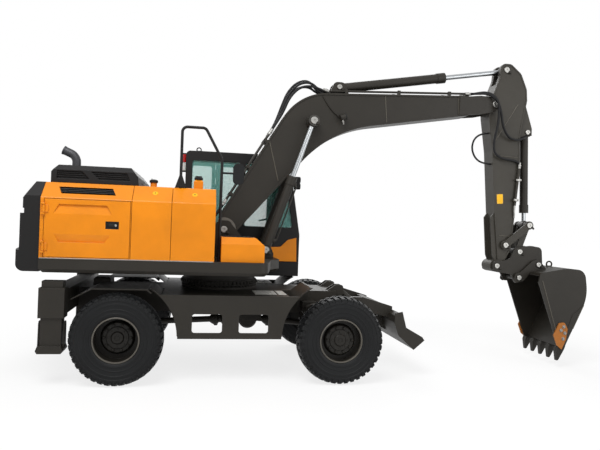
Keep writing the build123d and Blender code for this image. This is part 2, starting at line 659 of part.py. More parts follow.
door = box(*DOOR_X, -BODY_HALF, -BODY_HALF + WALL - 5, *DOOR_Z)
door = door - scoop([(-1834, 2029), (-1325, 2029), (-1268, 1923), (-1892, 1923)], 2029, 1923)
door = door - scoop([(-1830, 1612), (-1343, 1612), (-1281, 1700), (-1875, 1700)], 1612, 1700)
door = door - box(-1335, -1190, -BODY_HALF - CUT, -BODY_HALF + EMBOSS, 1770, 1855)
latch = box(-1300, -1225, -BODY_HALF + 6, -BODY_HALF + EMBOSS + CUT, 1797, 1828)
door = joined(door, latch)
for z in SIDE_HINGE_Z:
    door = joined(door, moving_hinge(SIDE_HINGE, z, -1)) - fixed_pin(SIDE_HINGE, z, PIN_PLAY)
nodes["side_door_right"] = door
nodes["side_door_left"] = mirrored(door)

# Tanks on the right, the battery box behind the cab

hydraulic_tank = body_section(BAY_FRONT + PANEL_GAP, TANK_SPLIT - PANEL_GAP / 2, -BODY_HALF, TANK_INNER)
breather = Pos(-855, -800, BODY_TOP + 25) * Cylinder(38, 60)
nodes["hydraulic_tank"] = joined(hydraulic_tank, breather)
fuel_tank = body_section(TANK_SPLIT + PANEL_GAP / 2, TANK_FRONT, -BODY_HALF, TANK_INNER)
filler = box(-383, -271, -860, -748, BODY_TOP - CUT, 2395)
filler = chamfer(filler.edges().group_by(Axis.Z)[-1], 22)
nodes["fuel_tank"] = joined(fuel_tank, filler)

HOOD_HINGE = (-1008, BODY_TOP + 20)
HOOD_HINGE_Y = (-330, 330)
HOOD_PIN_R = 8
HOOD_TUBE_R = 16
HOOD_TUBE_HALF = 50
BLOCK_W = 24
BLOCK_AT = (-HOOD_TUBE_HALF - SIDE_GAP - BLOCK_W, HOOD_TUBE_HALF + SIDE_GAP)
battery_box = body_section(BAY_FRONT + PANEL_GAP, CAB_REAR - 25, TANK_INNER + 10, BODY_HALF)
for y in HOOD_HINGE_Y:
    block_x = (HOOD_HINGE[0] - 6, HOOD_HINGE[0] + 40)
    block_z = (BODY_TOP - CUT, HOOD_HINGE[1] + 14)
    blocks = [box(*block_x, y + at, y + at + BLOCK_W, *block_z) for at in BLOCK_AT]
    hinge_pin = pin_y(HOOD_HINGE, HOOD_PIN_R, y + BLOCK_AT[0], y - BLOCK_AT[0])
    battery_box = joined(battery_box, hinge_pin, blocks)
nodes["battery_box"] = battery_box

# Engine hood with slatted vents along both sides, and the exhaust on it

hood_side = [
    (HOOD_BACK, HOOD_BASE), (HOOD_BACK, HOOD_TOP - 84), (HOOD_BACK + 70, HOOD_TOP), (-1115, HOOD_TOP),
    (-1030, HOOD_TOP - 104), (HOOD_FRONT, HOOD_BASE)]
hood = prism_xz(hood_side, -HOOD_HALF, HOOD_HALF)
hood_brow = prism_yz(
    [(HOOD_HALF + CUT, HOOD_TOP - HOOD_BROW), (HOOD_HALF - HOOD_BROW, HOOD_TOP + CUT),
     (HOOD_HALF + CUT, HOOD_TOP + CUT)], HOOD_BACK - CUT, HOOD_FRONT + CUT)
hood = hood - hood_brow - mirrored(hood_brow)
hood_room = [
    (HOOD_BACK + HOOD_WALL, HOOD_BASE - CUT), (HOOD_BACK + HOOD_WALL, HOOD_TOP - 104),
    (HOOD_BACK + 85, HOOD_TOP - HOOD_WALL), (-1130, HOOD_TOP - HOOD_WALL), (-1070, HOOD_TOP - 114),
    (HOOD_FRONT - HOOD_WALL, HOOD_BASE - CUT)]
hood_inner = HOOD_HALF - HOOD_WALL - 20
hood = hood - prism_xz(hood_room, -hood_inner, hood_inner)
vents = []
VENT_Z = (HOOD_TOP - 158, HOOD_TOP - 72)
for low, high in (((-1940, -1575), (-1934, -1658)), ((-1467, -1120), (-1559, -1155))):
    vent = prism_xz(
        [(low[0], VENT_Z[0]), (high[0], VENT_Z[1]), (high[1], VENT_Z[1]), (low[1], VENT_Z[0])],
        -HOOD_HALF - CUT, -HOOD_HALF + VENT_DEPTH)
    for rise in VENT_SLATS:
        slat_z = (VENT_Z[0] + rise, VENT_Z[0] + rise + SLAT_T)
        vent = vent - box(HOOD_BACK, HOOD_FRONT, -HOOD_HALF + 8, -HOOD_HALF + VENT_DEPTH, *slat_z)
    vents += both_sides(vent)
for vent in vents:
    hood = hood - vent
for y in HOOD_HINGE_Y:
    tube_ends = (y - HOOD_TUBE_HALF, y + HOOD_TUBE_HALF)
    leaf = box(HOOD_FRONT - HOOD_WALL + 5, HOOD_HINGE[0] - HOOD_PIN_R, *tube_ends, HOOD_BASE, HOOD_BASE + 25)
    hood = joined(hood, pin_y(HOOD_HINGE, HOOD_TUBE_R, *tube_ends), leaf)
    hood = hood - pin_y(HOOD_HINGE, HOOD_PIN_R + PIN_PLAY, y - 2 * HOOD_TUBE_HALF, y + 2 * HOOD_TUBE_HALF)
    for at in BLOCK_AT:
        hood = hood - box(
            HOOD_HINGE[0] - 70, HOOD_HINGE[0] + DOOR_GAP, y + at - SIDE_GAP, y + at + BLOCK_W + SIDE_GAP,
            HOOD_BASE - CUT, HOOD_BASE + 60)
nodes["engine_hood"] = hood
exhaust = tube(
    [(-1780, -600, HOOD_TOP), (-1780, -600, HOOD_TOP + 130), (-1930, -600, HOOD_TOP + 195)], EXHAUST_R, 110)
nodes["exhaust"] = exhaust

# Tool box, handrail and mirror at the right front

tool_box = prism_xz(
    [(-40, DECK_TOP), (-40, 1722), (366, 1722), (470, 1630), (470, DECK_TOP)], -1150, -600, {2: 30, 3: 30})
tool_bevel = prism_yz([(-1150 - CUT, 1640), (-1080, 1722 + CUT), (-1150 - CUT, 1722 + CUT)], -41, 471)
nodes["tool_box"] = tool_box - tool_bevel

RAIL_Y = -1000
RAIL_R = 17
RAIL_TOP = 3000
rail = tube(
    [(-535, RAIL_Y, BODY_TOP), (-535, RAIL_Y, RAIL_TOP), (-264, RAIL_Y, RAIL_TOP), (-60, RAIL_Y, 2633),
     (-60, RAIL_Y, DECK_TOP)], RAIL_R, 60)
foot_plate = prism_xz(
    [(-600, BODY_TOP), (-545, BODY_TOP + 165), (-525, BODY_TOP + 165), (-465, BODY_TOP)],
    RAIL_Y - 6, RAIL_Y + 6)
nodes["handrail"] = joined(rail, foot_plate)
mirror_head = prism_xz(
    [(75, 2350), (75, 2600), (205, 2600), (205, 2350)], RAIL_Y - 10, RAIL_Y + 40,
    dict.fromkeys(range(4), 55))
mirror_arm = rod((-60, RAIL_Y + 15, 2480), (90, RAIL_Y + 15, 2480), 12)
nodes["mirror_right"] = joined(mirror_head, mirror_arm) - rail


# Cab: frame with window openings, panes, door and what is seen inside

def cab_front(z):
    # The windscreen leans back above the chin
    lean = (CAB_FRONT - CAB_BROW) / (CAB_TOP - CAB_CHIN)
    return CAB_FRONT - max(0, z - CAB_CHIN) * lean


def cab_shell(inset, bottom, y0, y1, rounds):
    front_low = cab_front(CAB_CHIN) - inset
    front_top = cab_front(CAB_TOP) - inset
    return prism_xz(
        [(CAB_REAR + inset, bottom), (CAB_REAR + inset, CAB_TOP - inset), (front_top, CAB_TOP - inset),
         (front_low, CAB_CHIN), (front_low, bottom)], y0, y1, rounds)


def side_pane(x0, x1, low, y0, y1):
    # x1 of None follows the leaning front edge
    top_x = x1 if x1 is not None else cab_front(HEAD) - PILLAR
    low_x = x1 if x1 is not None else cab_front(low) - PILLAR
    corners = [(x0, low), (x0, HEAD), (top_x, HEAD), (low_x, low)]
    return prism_xz(corners, y0, y1, dict.fromkeys(range(4), PANE_R))


def front_pane(outer, inner):
    heights = (FRONT_SILL, CAB_CHIN, HEAD)
    outside = [(cab_front(z) - outer, z) for z in heights]
    inside = [(cab_front(z) - inner, z) for z in reversed(heights)]
    return prism_xz(outside + inside, CAB_RIGHT + PILLAR, CAB_LEFT - PILLAR)


REAR_PANE = (CAB_RIGHT + PILLAR, CAB_LEFT - PILLAR)
cab = cab_shell(0, CAB_BOTTOM, CAB_RIGHT, CAB_LEFT, {1: CAB_ROUND, 2: CAB_ROUND})
cab = cab - cab_shell(CAB_WALL, CAB_FLOOR, CAB_RIGHT + CAB_WALL, CAB_LEFT - CAB_WALL, None)
panes = []
right_wall = (CAB_RIGHT - CUT, CAB_RIGHT + CAB_WALL + CUT)
right_glass = (CAB_RIGHT + GLASS_IN, CAB_RIGHT + GLASS_IN + GLASS_T)
for span in ((CAB_REAR + PILLAR, 260), (330, None)):
    cab = cab - side_pane(*span, SILL, *right_wall)
    panes.append(side_pane(*span, SILL, *right_glass))
rear_span = (CAB_REAR + PILLAR, DOOR_SPAN[0] - 60)
cab = cab - side_pane(*rear_span, SILL, CAB_LEFT - CAB_WALL - CUT, CAB_LEFT + CUT)
panes.append(side_pane(*rear_span, SILL, CAB_LEFT - GLASS_IN - GLASS_T, CAB_LEFT - GLASS_IN))
cab = cab - box(CAB_REAR - CUT, CAB_REAR + CAB_WALL + CUT, *REAR_PANE, SILL, HEAD)
panes.append(box(CAB_REAR + GLASS_IN, CAB_REAR + GLASS_IN + GLASS_T, *REAR_PANE, SILL, HEAD))
cab = cab - front_pane(-CUT, CAB_WALL + CUT)
panes.append(front_pane(GLASS_IN, GLASS_IN + GLASS_T))
cab = cab - box(
    DOOR_SPAN[0] - DOOR_GAP, DOOR_SPAN[1] + DOOR_GAP, CAB_LEFT - CAB_WALL - CUT, CAB_LEFT + CUT,
    CAB_DOOR_Z[0] - DOOR_GAP, CAB_DOOR_Z[1] + DOOR_GAP)
cab = cab - Pos(0, 0, CAB_SEAT - 100) * Cylinder(SLEW_R - 10, 200)
CAB_HINGE = (DOOR_SPAN[0] - DOOR_GAP / 2, CAB_LEFT + HINGE_OUT)
CAB_HINGE_Z = (CAB_DOOR_Z[0] + 150, CAB_DOOR_Z[1] - 150)
for z in CAB_HINGE_Z:
    cab = joined(cab, fixed_hinge(CAB_HINGE, z, 1))
roof_pad = box(CAB_REAR + 140, CAB_BROW - 160, CAB_RIGHT + 140, CAB_LEFT - 140, CAB_TOP - CUT, CAB_TOP + 18)
lamp_x = cab_front(2500)
lamp_stay = box(lamp_x - 20, lamp_x + 60, CAB_RIGHT + 15, CAB_RIGHT + 45, 2485, 2515)
lamp_house = box(lamp_x + 35, lamp_x + 110, CAB_RIGHT + 5, CAB_RIGHT + 120, 2410, 2590)
lamp_house = chamfer(lamp_house.edges().filter_by(Axis.X), 20)
tail_stay = box(CAB_REAR - 25, CAB_REAR + CUT, 880, 920, HEAD + 40, HEAD + 80)
tail_lamp = Pos(CAB_REAR - 30, 900, HEAD + 10) * Cylinder(28, 280)
nodes["cab_frame"] = joined(cab, roof_pad, lamp_stay, lamp_house, tail_stay, tail_lamp)
nodes["cab_glass"] = Compound(panes)
DOOR_PANE = (DOOR_SPAN[0] + 70, DOOR_SPAN[1] - 70)
DOOR_IN = CAB_LEFT - CAB_WALL + 10
cab_door = box(*DOOR_SPAN, DOOR_IN, CAB_LEFT, *CAB_DOOR_Z)
cab_door = cab_door - side_pane(*DOOR_PANE, SILL, DOOR_IN - CUT, CAB_LEFT + CUT)
handle = box(DOOR_SPAN[1] - 60, DOOR_SPAN[1] - 35, CAB_LEFT - CUT, CAB_LEFT + 30, 1600, 1790)
cab_door = joined(cab_door, handle)
for z in CAB_HINGE_Z:
    cab_door = joined(cab_door, moving_hinge(CAB_HINGE, z, 1)) - fixed_pin(CAB_HINGE, z, PIN_PLAY)
nodes["cab_door"] = cab_door
nodes["cab_door_glass"] = side_pane(*DOOR_PANE, SILL, CAB_LEFT - GLASS_IN - GLASS_T, CAB_LEFT - GLASS_IN)
nodes["cab_side_panel"] = prism_xz(
    [(685, 1365), (685, 1565), (870, 1571), (970, 1674), (1095, 1707), (1105, 1365)],
    CAB_RIGHT - 15, CAB_RIGHT, {2: 60, 3: 60})
seat_y = (CAB_RIGHT + CAB_LEFT) / 2
SEAT_HALF = 240
nodes["operator_seat"] = joined(
    box(0, 480, seat_y - SEAT_HALF, seat_y + SEAT_HALF, 1720, 1850),
    prism_xz([(-80, 1780), (-150, 2450), (-30, 2450), (60, 1780)], seat_y - SEAT_HALF, seat_y + SEAT_HALF),
    box(90, 390, seat_y - 150, seat_y + 150, CAB_FLOOR, 1725))
console = joined(
    box(150, 560, CAB_RIGHT + CAB_WALL, CAB_RIGHT + 190, CAB_FLOOR, SILL),
    box(820, 940, seat_y - 60, seat_y + 60, CAB_FLOOR, CAB_FLOOR + 40),
    rod((880, seat_y, CAB_FLOOR + 20), (760, seat_y, 1960), 35),
    Pos(755, seat_y, 1975) * Rot(0, -15, 0) * Cylinder(170, 30))
nodes["cab_console"] = console

# Boom: a welded box beam with a bend at its knee, lines along its back and a lamp on its side

boom_points = [
    (-70, 1850), (14, 2069), BOOM_KNEE, BOOM_NOSE, (BOOM_NOSE[0], 3548), (1446, 3211), (150, 1726)]
boom = box_section(boom_points, {2: 730, 5: 1650}, BOOM_HALF, BOOM_RIM, WEB_IN)
fork_in = ARM_HALF + SIDE_GAP
fork = prism_xz(
    [(3300, 3800), (3617, 3840), (3840, 3832), (3945, 3731), (3840, 3625), (3658, 3582), (3300, 3540)],
    fork_in, fork_in + FORK_T, {2: 60, 3: 80, 4: 60})
tail_lug = prism_xz([(1400, 3690), (1480, 3890), (1620, 3890), (1700, 3700)], 72, 102, {1: 65, 2: 65})
rod_boss = pin_y(BOOM_ROD_PIN, 85, -BOOM_CYL_Y + 56, BOOM_CYL_Y - 56)
foot_boss = pin_y(BOOM_FOOT, 100, -BOOM_HALF, BOOM_HALF)


def boom_back(x):
    # The height of the boom's straight back above a place along it
    slope = (BOOM_NOSE[1] - BOOM_KNEE[1]) / (BOOM_NOSE[0] - BOOM_KNEE[0])
    return BOOM_KNEE[1] + (x - BOOM_KNEE[0]) * slope


line_ends = [(x, LINE_Y, boom_back(x) + LINE_RISE) for x in (1330, BOOM_NOSE[0])]
lines = both_sides(rod(*line_ends, LINE_R))
for x in (1640, 2400, 3150):
    z = boom_back(x)
    lines += both_sides(box(x - 20, x + 20, LINE_Y - 22, LINE_Y + 22, z - 30, z + LINE_RISE + LINE_R + 8))
back_line = ((60, 2150), (640, 3122))
back_turn = math.atan2(back_line[1][1] - back_line[0][1], back_line[1][0] - back_line[0][0])
shift = (-math.sin(back_turn) * LINE_RISE, math.cos(back_turn) * LINE_RISE)
for y in (LINE_Y, LINE_Y - 62):
    ends = [(x + shift[0], y, z + shift[1]) for x, z in back_line]
    lines += both_sides(rod(*ends, LINE_R))
for share in (0.12, 0.5, 0.88):
    x, z = along(*back_line, share * math.dist(*back_line))
    clamp = box(-20, 20, LINE_Y - 88, LINE_Y + 22, -30, LINE_RISE + LINE_R + 6)
    lines += both_sides(Pos(x, 0, z) * Rot(0, -math.degrees(back_turn), 0) * clamp)
lamp_arm = box(1555, 1580, -BOOM_HALF - 45, -BOOM_HALF + WEB_IN + CUT, 3405, 3430)
boom_lamp = Pos(1590, -BOOM_HALF - 55, 3385) * Rot(0, 70, 0) * Cylinder(42, 70)
boom = joined(
    boom, both_sides(fork), both_sides(tail_lug), rod_boss, foot_boss, lines, lamp_arm, boom_lamp,
    pin_y(ARM_PIVOT, 45, -fork_in - FORK_T - 12, fork_in + FORK_T + 12), pin_y(ARM_TAIL_PIN, 35, -110, 110))
nodes["boom"] = bored(boom, BOOM_FOOT, 45, BOOM_HALF + CUT)

boom_barrel = cylinder_barrel(BOOM_BASE_PIN, BOOM_ROD_PIN, BOOM_CYL_Y, 1040, 60, 75, 48, 33)
boom_barrel = boom_barrel - pin_y(BOOM_BASE_PIN, 40 + PIN_PLAY, 0, 2 * BOOM_CYL_Y)
nodes["boom_cylinder_barrels"] = Compound(both_sides(boom_barrel))
nodes["boom_cylinder_rods"] = Compound(both_sides(
    cylinder_rod(BOOM_BASE_PIN, BOOM_ROD_PIN, BOOM_CYL_Y, 605, 33, 75, 50)))
arm_barrel = cylinder_barrel(ARM_TAIL_PIN, ARM_ROD_PIN, 0, 1590, 66, 70, 60, 35)
nodes["arm_cylinder_barrel"] = bored(arm_barrel, ARM_TAIL_PIN, 35, 200)
nodes["arm_cylinder_rod"] = cylinder_rod(ARM_TAIL_PIN, ARM_ROD_PIN, 0, 1000, 35, 70, 60)

# Arm: a tapering box beam with a high head for its cylinder, and a line clipped to its side

arm_points = [
    (3768, 3551), (3755, 3720), (3836, 3913), (3915, 4130), (3935, 4340), (4090, 4340), (4250, 4210),
    (4345, 3990), (4357, 3828), (4290, 3440), (4266, 3235), (4274, 2915), (4218, 2067), (4180, 1650),
    (4020, 1360), (3945, 1360), (3980, 1500), (3912, 2114), (3840, 3069)]
arm = box_section(arm_points, {4: 80, 5: 90, 6: 120, 7: 120}, ARM_HALF, 22, 6)
tip_boss = pin_y(ARM_TIP, 88, -ARM_HALF, ARM_HALF)
guard_rib = prism_xz(
    [(3916, 2190), (3862, 2110), (3905, 1560), (3935, 1490), (3995, 1500), (3926, 2110)], 92, 112)
arm = arm - box(3700, 4400, -68, 68, 4040, 4400)
base_lug = prism_xz(
    [(4300, 3480), (4345, 3800), (4400, 3640), (4470, 3430), (4470, 3310), (4255, 3300)],
    62, 92, {3: 60, 4: 60})
line_x = (4262, 4205)
side_line = rod((line_x[0], -ARM_HALF - 22, 2890), (line_x[1], -ARM_HALF - 22, 2290), LINE_R + 3)
line_clips = [
    box(x - 34, x + 34, -ARM_HALF - 48, -ARM_HALF + 8, z - 13, z + 13)
    for x, z in ((4240, 2660), (4212, 2370))]
arm = joined(
    arm, tip_boss, both_sides(guard_rib), both_sides(base_lug), side_line, line_clips,
    pin_y(BUCKET_BASE_PIN, 35, -100, 100),
    pin_y(ROCKER_PIN, 35, -175, 175), both_sides(pin_y(ROCKER_PIN, 50, 171, 179)))
arm = bored(arm, ARM_PIVOT, 45, ARM_HALF + CUT)
nodes["arm"] = bored(arm, ARM_TIP, 38, ARM_HALF + CUT)

bucket_barrel = cylinder_barrel(BUCKET_BASE_PIN, LINK_TOP_PIN, 0, 1180, 58, 65, 55, 31)
nodes["bucket_cylinder_barrel"] = bored(bucket_barrel, BUCKET_BASE_PIN, 35, 200)
nodes["bucket_cylinder_rod"] = cylinder_rod(BUCKET_BASE_PIN, LINK_TOP_PIN, 0, 190, 31, 62, 55)


def link_plate(pin_a, pin_b, r_a, r_b, y0, y1):
    direction = math.atan2(pin_b[1] - pin_a[1], pin_b[0] - pin_a[0])
    across = Vector(math.sin(direction), -math.cos(direction)) * LINK_WAIST
    start = Vector(*pin_a)
    end = Vector(*pin_b)
    corners = (start + across * r_a, end + across * r_b, end - across * r_b, start - across * r_a)
    points = [(corner.X, corner.Y) for corner in corners]
    return joined(prism_xz(points, y0, y1), pin_y(pin_a, r_a, y0, y1), pin_y(pin_b, r_b, y0, y1))


rocker = link_plate(ROCKER_PIN, LINK_TOP_PIN, 65, 60, ARM_HALF + 7, ARM_HALF + 35)
rocker = rocker - pin_y(ROCKER_PIN, 35 + PIN_PLAY, 0, 2 * ARM_HALF)
nodes["rocker_links"] = Compound(both_sides(rocker))
h_link = joined(
    both_sides(link_plate(LINK_TOP_PIN, LINK_LOW_PIN, 55, 55, 66, 110)),
    pin_y(LINK_LOW_PIN, 55, -110, 110))
nodes["h_link"] = bored(h_link, LINK_LOW_PIN, 38, 200)

# Quick coupler and bucket

COUPLER_IN = ARM_HALF + SIDE_GAP
COUPLER_T = 32
coupler_out = COUPLER_IN + COUPLER_T
ear_in = coupler_out + 2
coupler_side = [
    (3900, 1340), (3885, 1425), (3920, 1490), (4040, 1485), (4150, 1505), (4235, 1680), (4480, 1715),
    (4650, 1690), (4670, 1440), (4430, 1362), (4345, 1185), (4240, 1175), (4180, 1290), (3960, 1325)]
coupler_rounds = {0: 30, 1: 60, 2: 50, 4: 80, 5: 60, 6: 200, 7: 70, 8: 40, 10: 40, 11: 40}
plate = prism_xz(coupler_side, COUPLER_IN, coupler_out, coupler_rounds)
bridge = prism_xz(
    [(4300, 1330), (4350, 1470), (4500, 1560), (4590, 1540), (4600, 1460), (4420, 1365)],
    -COUPLER_IN - CUT, COUPLER_IN + CUT)
coupler_pins = [pin_y(pin, 38, -coupler_out - 2, coupler_out + 2) for pin in (ARM_TIP, LINK_LOW_PIN)]
bucket_pins = [pin_y(pin, 35, -ear_in - 45, ear_in + 45) for pin in (BUCKET_PIN_A, BUCKET_PIN_B)]
nodes["coupler"] = joined(both_sides(plate), bridge, coupler_pins, bucket_pins)

shell = prism_xz(
    [(4444, 1213), (4466, 1340), (4850, 1412), (5160, 1400), (5215, 1010), (4866, 282), (4780, 300)],
    -BUCKET_HALF, BUCKET_HALF, {3: 140, 4: 600})
room_half = BUCKET_HALF - BUCKET_WALL
shell = shell - prism_xz(
    [(4300, 1150), (4470, 1310), (4852, 1383), (5130, 1371), (5184, 1013), (4838, 290), (4740, 290)],
    -room_half, room_half, {3: 115, 4: 575})
wear_plate = prism_xz(
    [(4985, 760), (5075, 830), (5150, 900), (4990, 560), (4872, 300), (4830, 330)],
    BUCKET_HALF - CUT, BUCKET_HALF + 8)
ear = prism_xz(
    [(4205, 1200), (4230, 1310), (4300, 1325), (4500, 1500), (4590, 1525), (4720, 1375), (4470, 1330),
     (4350, 1200), (4240, 1175)], ear_in, ear_in + 35, {0: 30, 1: 40, 4: 50})
ear = ear - pin_y(BUCKET_PIN_A, 35, 0, BUCKET_HALF) - pin_y(BUCKET_PIN_B, 35, 0, BUCKET_HALF)
nodes["bucket"] = joined(shell, both_sides(wear_plate), both_sides(ear))
teeth = []
for number in range(5):
    y = (number - 2) * (BUCKET_HALF - TOOTH_HALF - 5) / 2
    side_form = prism_xz(
        [(4775, 105), (4800, 110), (4885, 290), (4905, 370), (4868, 286), (4780, 300), (4762, 250)],
        y - TOOTH_HALF, y + TOOTH_HALF)
    front_form = prism_yz(
        [(y - TOOTH_TIP, 100), (y + TOOTH_TIP, 100), (y + TOOTH_HALF, 265), (y + TOOTH_HALF, 380),
         (y - TOOTH_HALF, 380), (y - TOOTH_HALF, 265)], 4700, 4950)
    teeth.append((side_form & front_form) - nodes["bucket"])
nodes["bucket_teeth"] = Compound(teeth)
cutter = prism_xz(
    [(4770, 640), (4850, 655), (4905, 560), (4880, 400), (4820, 270), (4745, 330), (4690, 470)],
    BUCKET_HALF, BUCKET_HALF + CUTTER_T, {1: 35, 2: 35}) - nodes["bucket"]
nodes["side_cutters"] = Compound(both_sides(cutter))

os.makedirs("parts", exist_ok=True)
for name, shape in nodes.items():
    export_step(Pos(ROW_SHIFT, 0, 0) * shape, "parts/%s.step" % name)
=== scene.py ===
import math

import bmesh
import bpy
from mathutils import Matrix, Vector


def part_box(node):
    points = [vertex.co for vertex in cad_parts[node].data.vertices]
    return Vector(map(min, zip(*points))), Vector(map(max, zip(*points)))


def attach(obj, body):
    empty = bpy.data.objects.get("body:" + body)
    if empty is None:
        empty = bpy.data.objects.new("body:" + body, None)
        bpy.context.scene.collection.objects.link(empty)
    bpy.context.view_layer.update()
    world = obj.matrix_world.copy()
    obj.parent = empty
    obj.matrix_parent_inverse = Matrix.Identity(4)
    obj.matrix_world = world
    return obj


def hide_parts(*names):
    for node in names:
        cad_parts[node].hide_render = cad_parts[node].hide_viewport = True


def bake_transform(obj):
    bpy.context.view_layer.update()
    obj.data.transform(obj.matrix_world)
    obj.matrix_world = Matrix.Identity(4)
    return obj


bl_info = {
    "name": "Wheeled excavator dressing",
    "version": (1, 0, 0),
    "blender": (4, 5, 0),
    "location": "View3D > Sidebar > Excavator",
    "description": "Paints a wheeled excavator and adds its tread, hoses, fasteners, lamps and trim",
    "category": "Object",
}

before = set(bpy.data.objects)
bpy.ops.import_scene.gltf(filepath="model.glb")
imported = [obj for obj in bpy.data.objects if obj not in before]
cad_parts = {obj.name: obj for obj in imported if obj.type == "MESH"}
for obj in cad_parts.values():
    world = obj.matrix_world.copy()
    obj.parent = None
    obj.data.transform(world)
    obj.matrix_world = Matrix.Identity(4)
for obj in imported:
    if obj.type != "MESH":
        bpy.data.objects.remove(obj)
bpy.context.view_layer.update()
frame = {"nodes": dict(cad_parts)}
slew_low, slew_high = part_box("slew_ring")
SWING_X = (slew_low[0] + slew_high[0]) / 2

# Shapes and places are in millimetres, with places measured from the swing axis and the ground.
# Finishes and the stage are in the scene's own metres.

MM = 0.001
UP = (0, 0, 1)
AHEAD = (1, 0, 0)
TO_LEFT = (0, 1, 0)
TO_RIGHT = (0, -1, 0)
SIDES = (("right", -1), ("left", 1))

# X and Z of the pins

BOOM_FOOT = (30, 1800)
BOOM_BASE = (580, 1550)
BOOM_ROD = (1172, 3300)
ARM_PIVOT = (3840, 3731)
ARM_TAIL = (1550, 3820)
ARM_ROD = (4020, 4250)
BUCKET_BASE = (4400, 3373)
ROCKER = (4075, 1712)
LINK_TOP = (4446, 2010)
LINK_LOW = (4305, 1622)
ARM_TIP = (3955, 1411)
BUCKET_A = (4283, 1250)
BUCKET_B = (4582, 1444)
BLADE_PIVOT = (1150, 800)
BLADE_ROD = (2120, 640)

# Body each pin's head rides, its place, how far out the heads stand, and their radius

PINS = {
    "boom_foot": ("upper", BOOM_FOOT, 207, 45),
    "boom_base": ("upper", BOOM_BASE, 326, 46),
    "boom_rod": ("boom_rods", BOOM_ROD, 312, 50),
    "arm_pivot": ("boom", ARM_PIVOT, 178, 46),
    "rocker": ("arm", ROCKER, 179, 40),
    "link_top": ("rocker", LINK_TOP, 165, 42),
    "link_low": ("bucket", LINK_LOW, 170, 38),
    "arm_tip": ("bucket", ARM_TIP, 170, 38),
    "bucket_a": ("bucket", BUCKET_A, 215, 36),
    "bucket_b": ("bucket", BUCKET_B, 215, 36),
    "blade_pivot": ("chassis", BLADE_PIVOT, 660, 46),
    "arm_rod": ("arm", ARM_ROD, 130, 42),
    "bucket_base": ("arm", BUCKET_BASE, 100, 36),
    "arm_tail": ("boom", ARM_TAIL, 110, 36),
}

# Painted eyes at the ends of the cylinder rods, with their radius

ROD_EYES = ((BOOM_ROD, 88), (ARM_ROD, 78), (LINK_TOP, 70), (BLADE_ROD, 60))

# Each wheel's axle and side, and how deep the hubs on an axle are set

REAR_AXLE = -1180
FRONT_AXLE = 1420
WHEELS = {
    "rear_left": (REAR_AXLE, 1), "rear_right": (REAR_AXLE, -1),
    "front_left": (FRONT_AXLE, 1), "front_right": (FRONT_AXLE, -1),
}
HUB_RECESS = {REAR_AXLE: 200, FRONT_AXLE: 100}
WHEEL_Z = 525
TRACK_HALF = 1105
TYRE_HALF = 140
WHEEL_OUT = TRACK_HALF + TYRE_HALF
LIP_IN = 22

# Other places that pieces sit at

DECK_TOP = 1030
HOOD_TOP = 2494
CAB_MIDDLE = 782.5
OUTER_LINE = 122
INNER_LINE = 60


def at(x, y, z):
    """A point given in millimetres from the swing axis and the ground, in the scene's metres."""
    return Vector((SWING_X + x * MM, y * MM, z * MM))


def shift(x, y, z):
    """The matrix that moves a mesh to a point given as for at."""
    return Matrix.Translation(at(x, y, z))


def nudge(x, y, z):
    """The matrix of a move by so many millimetres."""
    return Matrix.Translation(Vector((x, y, z)) * MM)


def turn(axis, degrees):
    return Matrix.Rotation(math.radians(degrees), 4, axis)


def srgb(code):
    """The linear colour of a six-digit colour code."""
    values = [int(code[place:place + 2], 16) / 255 for place in (0, 2, 4)]
    return tuple(v / 12.92 if v <= 0.04045 else ((v + 0.055) / 1.055) ** 2.4 for v in values)


# Sizes and colours that a user may change

class ExcavatorPaints(bpy.types.PropertyGroup):
    """Colours of the finishes."""

    def paint(label, code):
        return bpy.props.FloatVectorProperty(
            name=label, description="Colour of the " + label.lower(), subtype="COLOR",
            size=3, min=0, max=1, default=srgb(code))

    body: paint("Body panels", "E58707")
    frame: paint("Boom and chassis", "2B2823")
    arm: paint("Arm and bucket", "393630")
    weight: paint("Counterweight and hood", "161515")
    tyre: paint("Tyres", "131415")
    plate: paint("Blank plate", "F5B921")


class ExcavatorSizes(bpy.types.PropertyGroup):
    """Sizes of the added pieces."""

    lugs: bpy.props.IntProperty(
        name="Tread lugs", description="Lugs in each of a tyre's two shoulder rows",
        default=40, min=20, max=80)
    lug_height: bpy.props.FloatProperty(
        name="Lug height", description="Height of a tread lug over the carcass", default=0.020, unit="LENGTH")
    hose: bpy.props.FloatProperty(
        name="Hose", description="Diameter of the pressure hoses", default=0.034, unit="LENGTH")
    bolt: bpy.props.FloatProperty(
        name="Bolt head", description="Width of a common bolt head", default=0.030, unit="LENGTH")


# Node helpers shared by the finishes

def new_finish(name):
    material = bpy.data.materials.new(name)
    material.use_nodes = True
    tree = material.node_tree
    return tree, tree.nodes["Principled BSDF"]


def object_point(tree):
    return tree.nodes.new("ShaderNodeTexCoord").outputs["Object"]


def noise(tree, point, scale, detail=3, roughness=0.5):
    node = tree.nodes.new("ShaderNodeTexNoise")
    node.inputs["Scale"].default_value = scale
    node.inputs["Detail"].default_value = detail
    node.inputs["Roughness"].default_value = roughness
    tree.links.new(point, node.inputs["Vector"])
    return node.outputs["Fac"]


def ramp(tree, factor, *stops):
    node = tree.nodes.new("ShaderNodeValToRGB")
    elements = node.color_ramp.elements
    while len(elements) < len(stops):
        elements.new(0.5)
    for element, (place, colour) in zip(elements, stops):
        element.position = place
        element.color = (*colour, 1)
    tree.links.new(factor, node.inputs["Fac"])
    return node.outputs["Color"]


def spread(tree, factor, low, high, from_low=0.0, from_high=1.0):
    node = tree.nodes.new("ShaderNodeMapRange")
    node.inputs["From Min"].default_value = from_low
    node.inputs["From Max"].default_value = from_high
    node.inputs["To Min"].default_value = low
    node.inputs["To Max"].default_value = high
    tree.links.new(factor, node.inputs["Value"])
    return node.outputs["Result"]


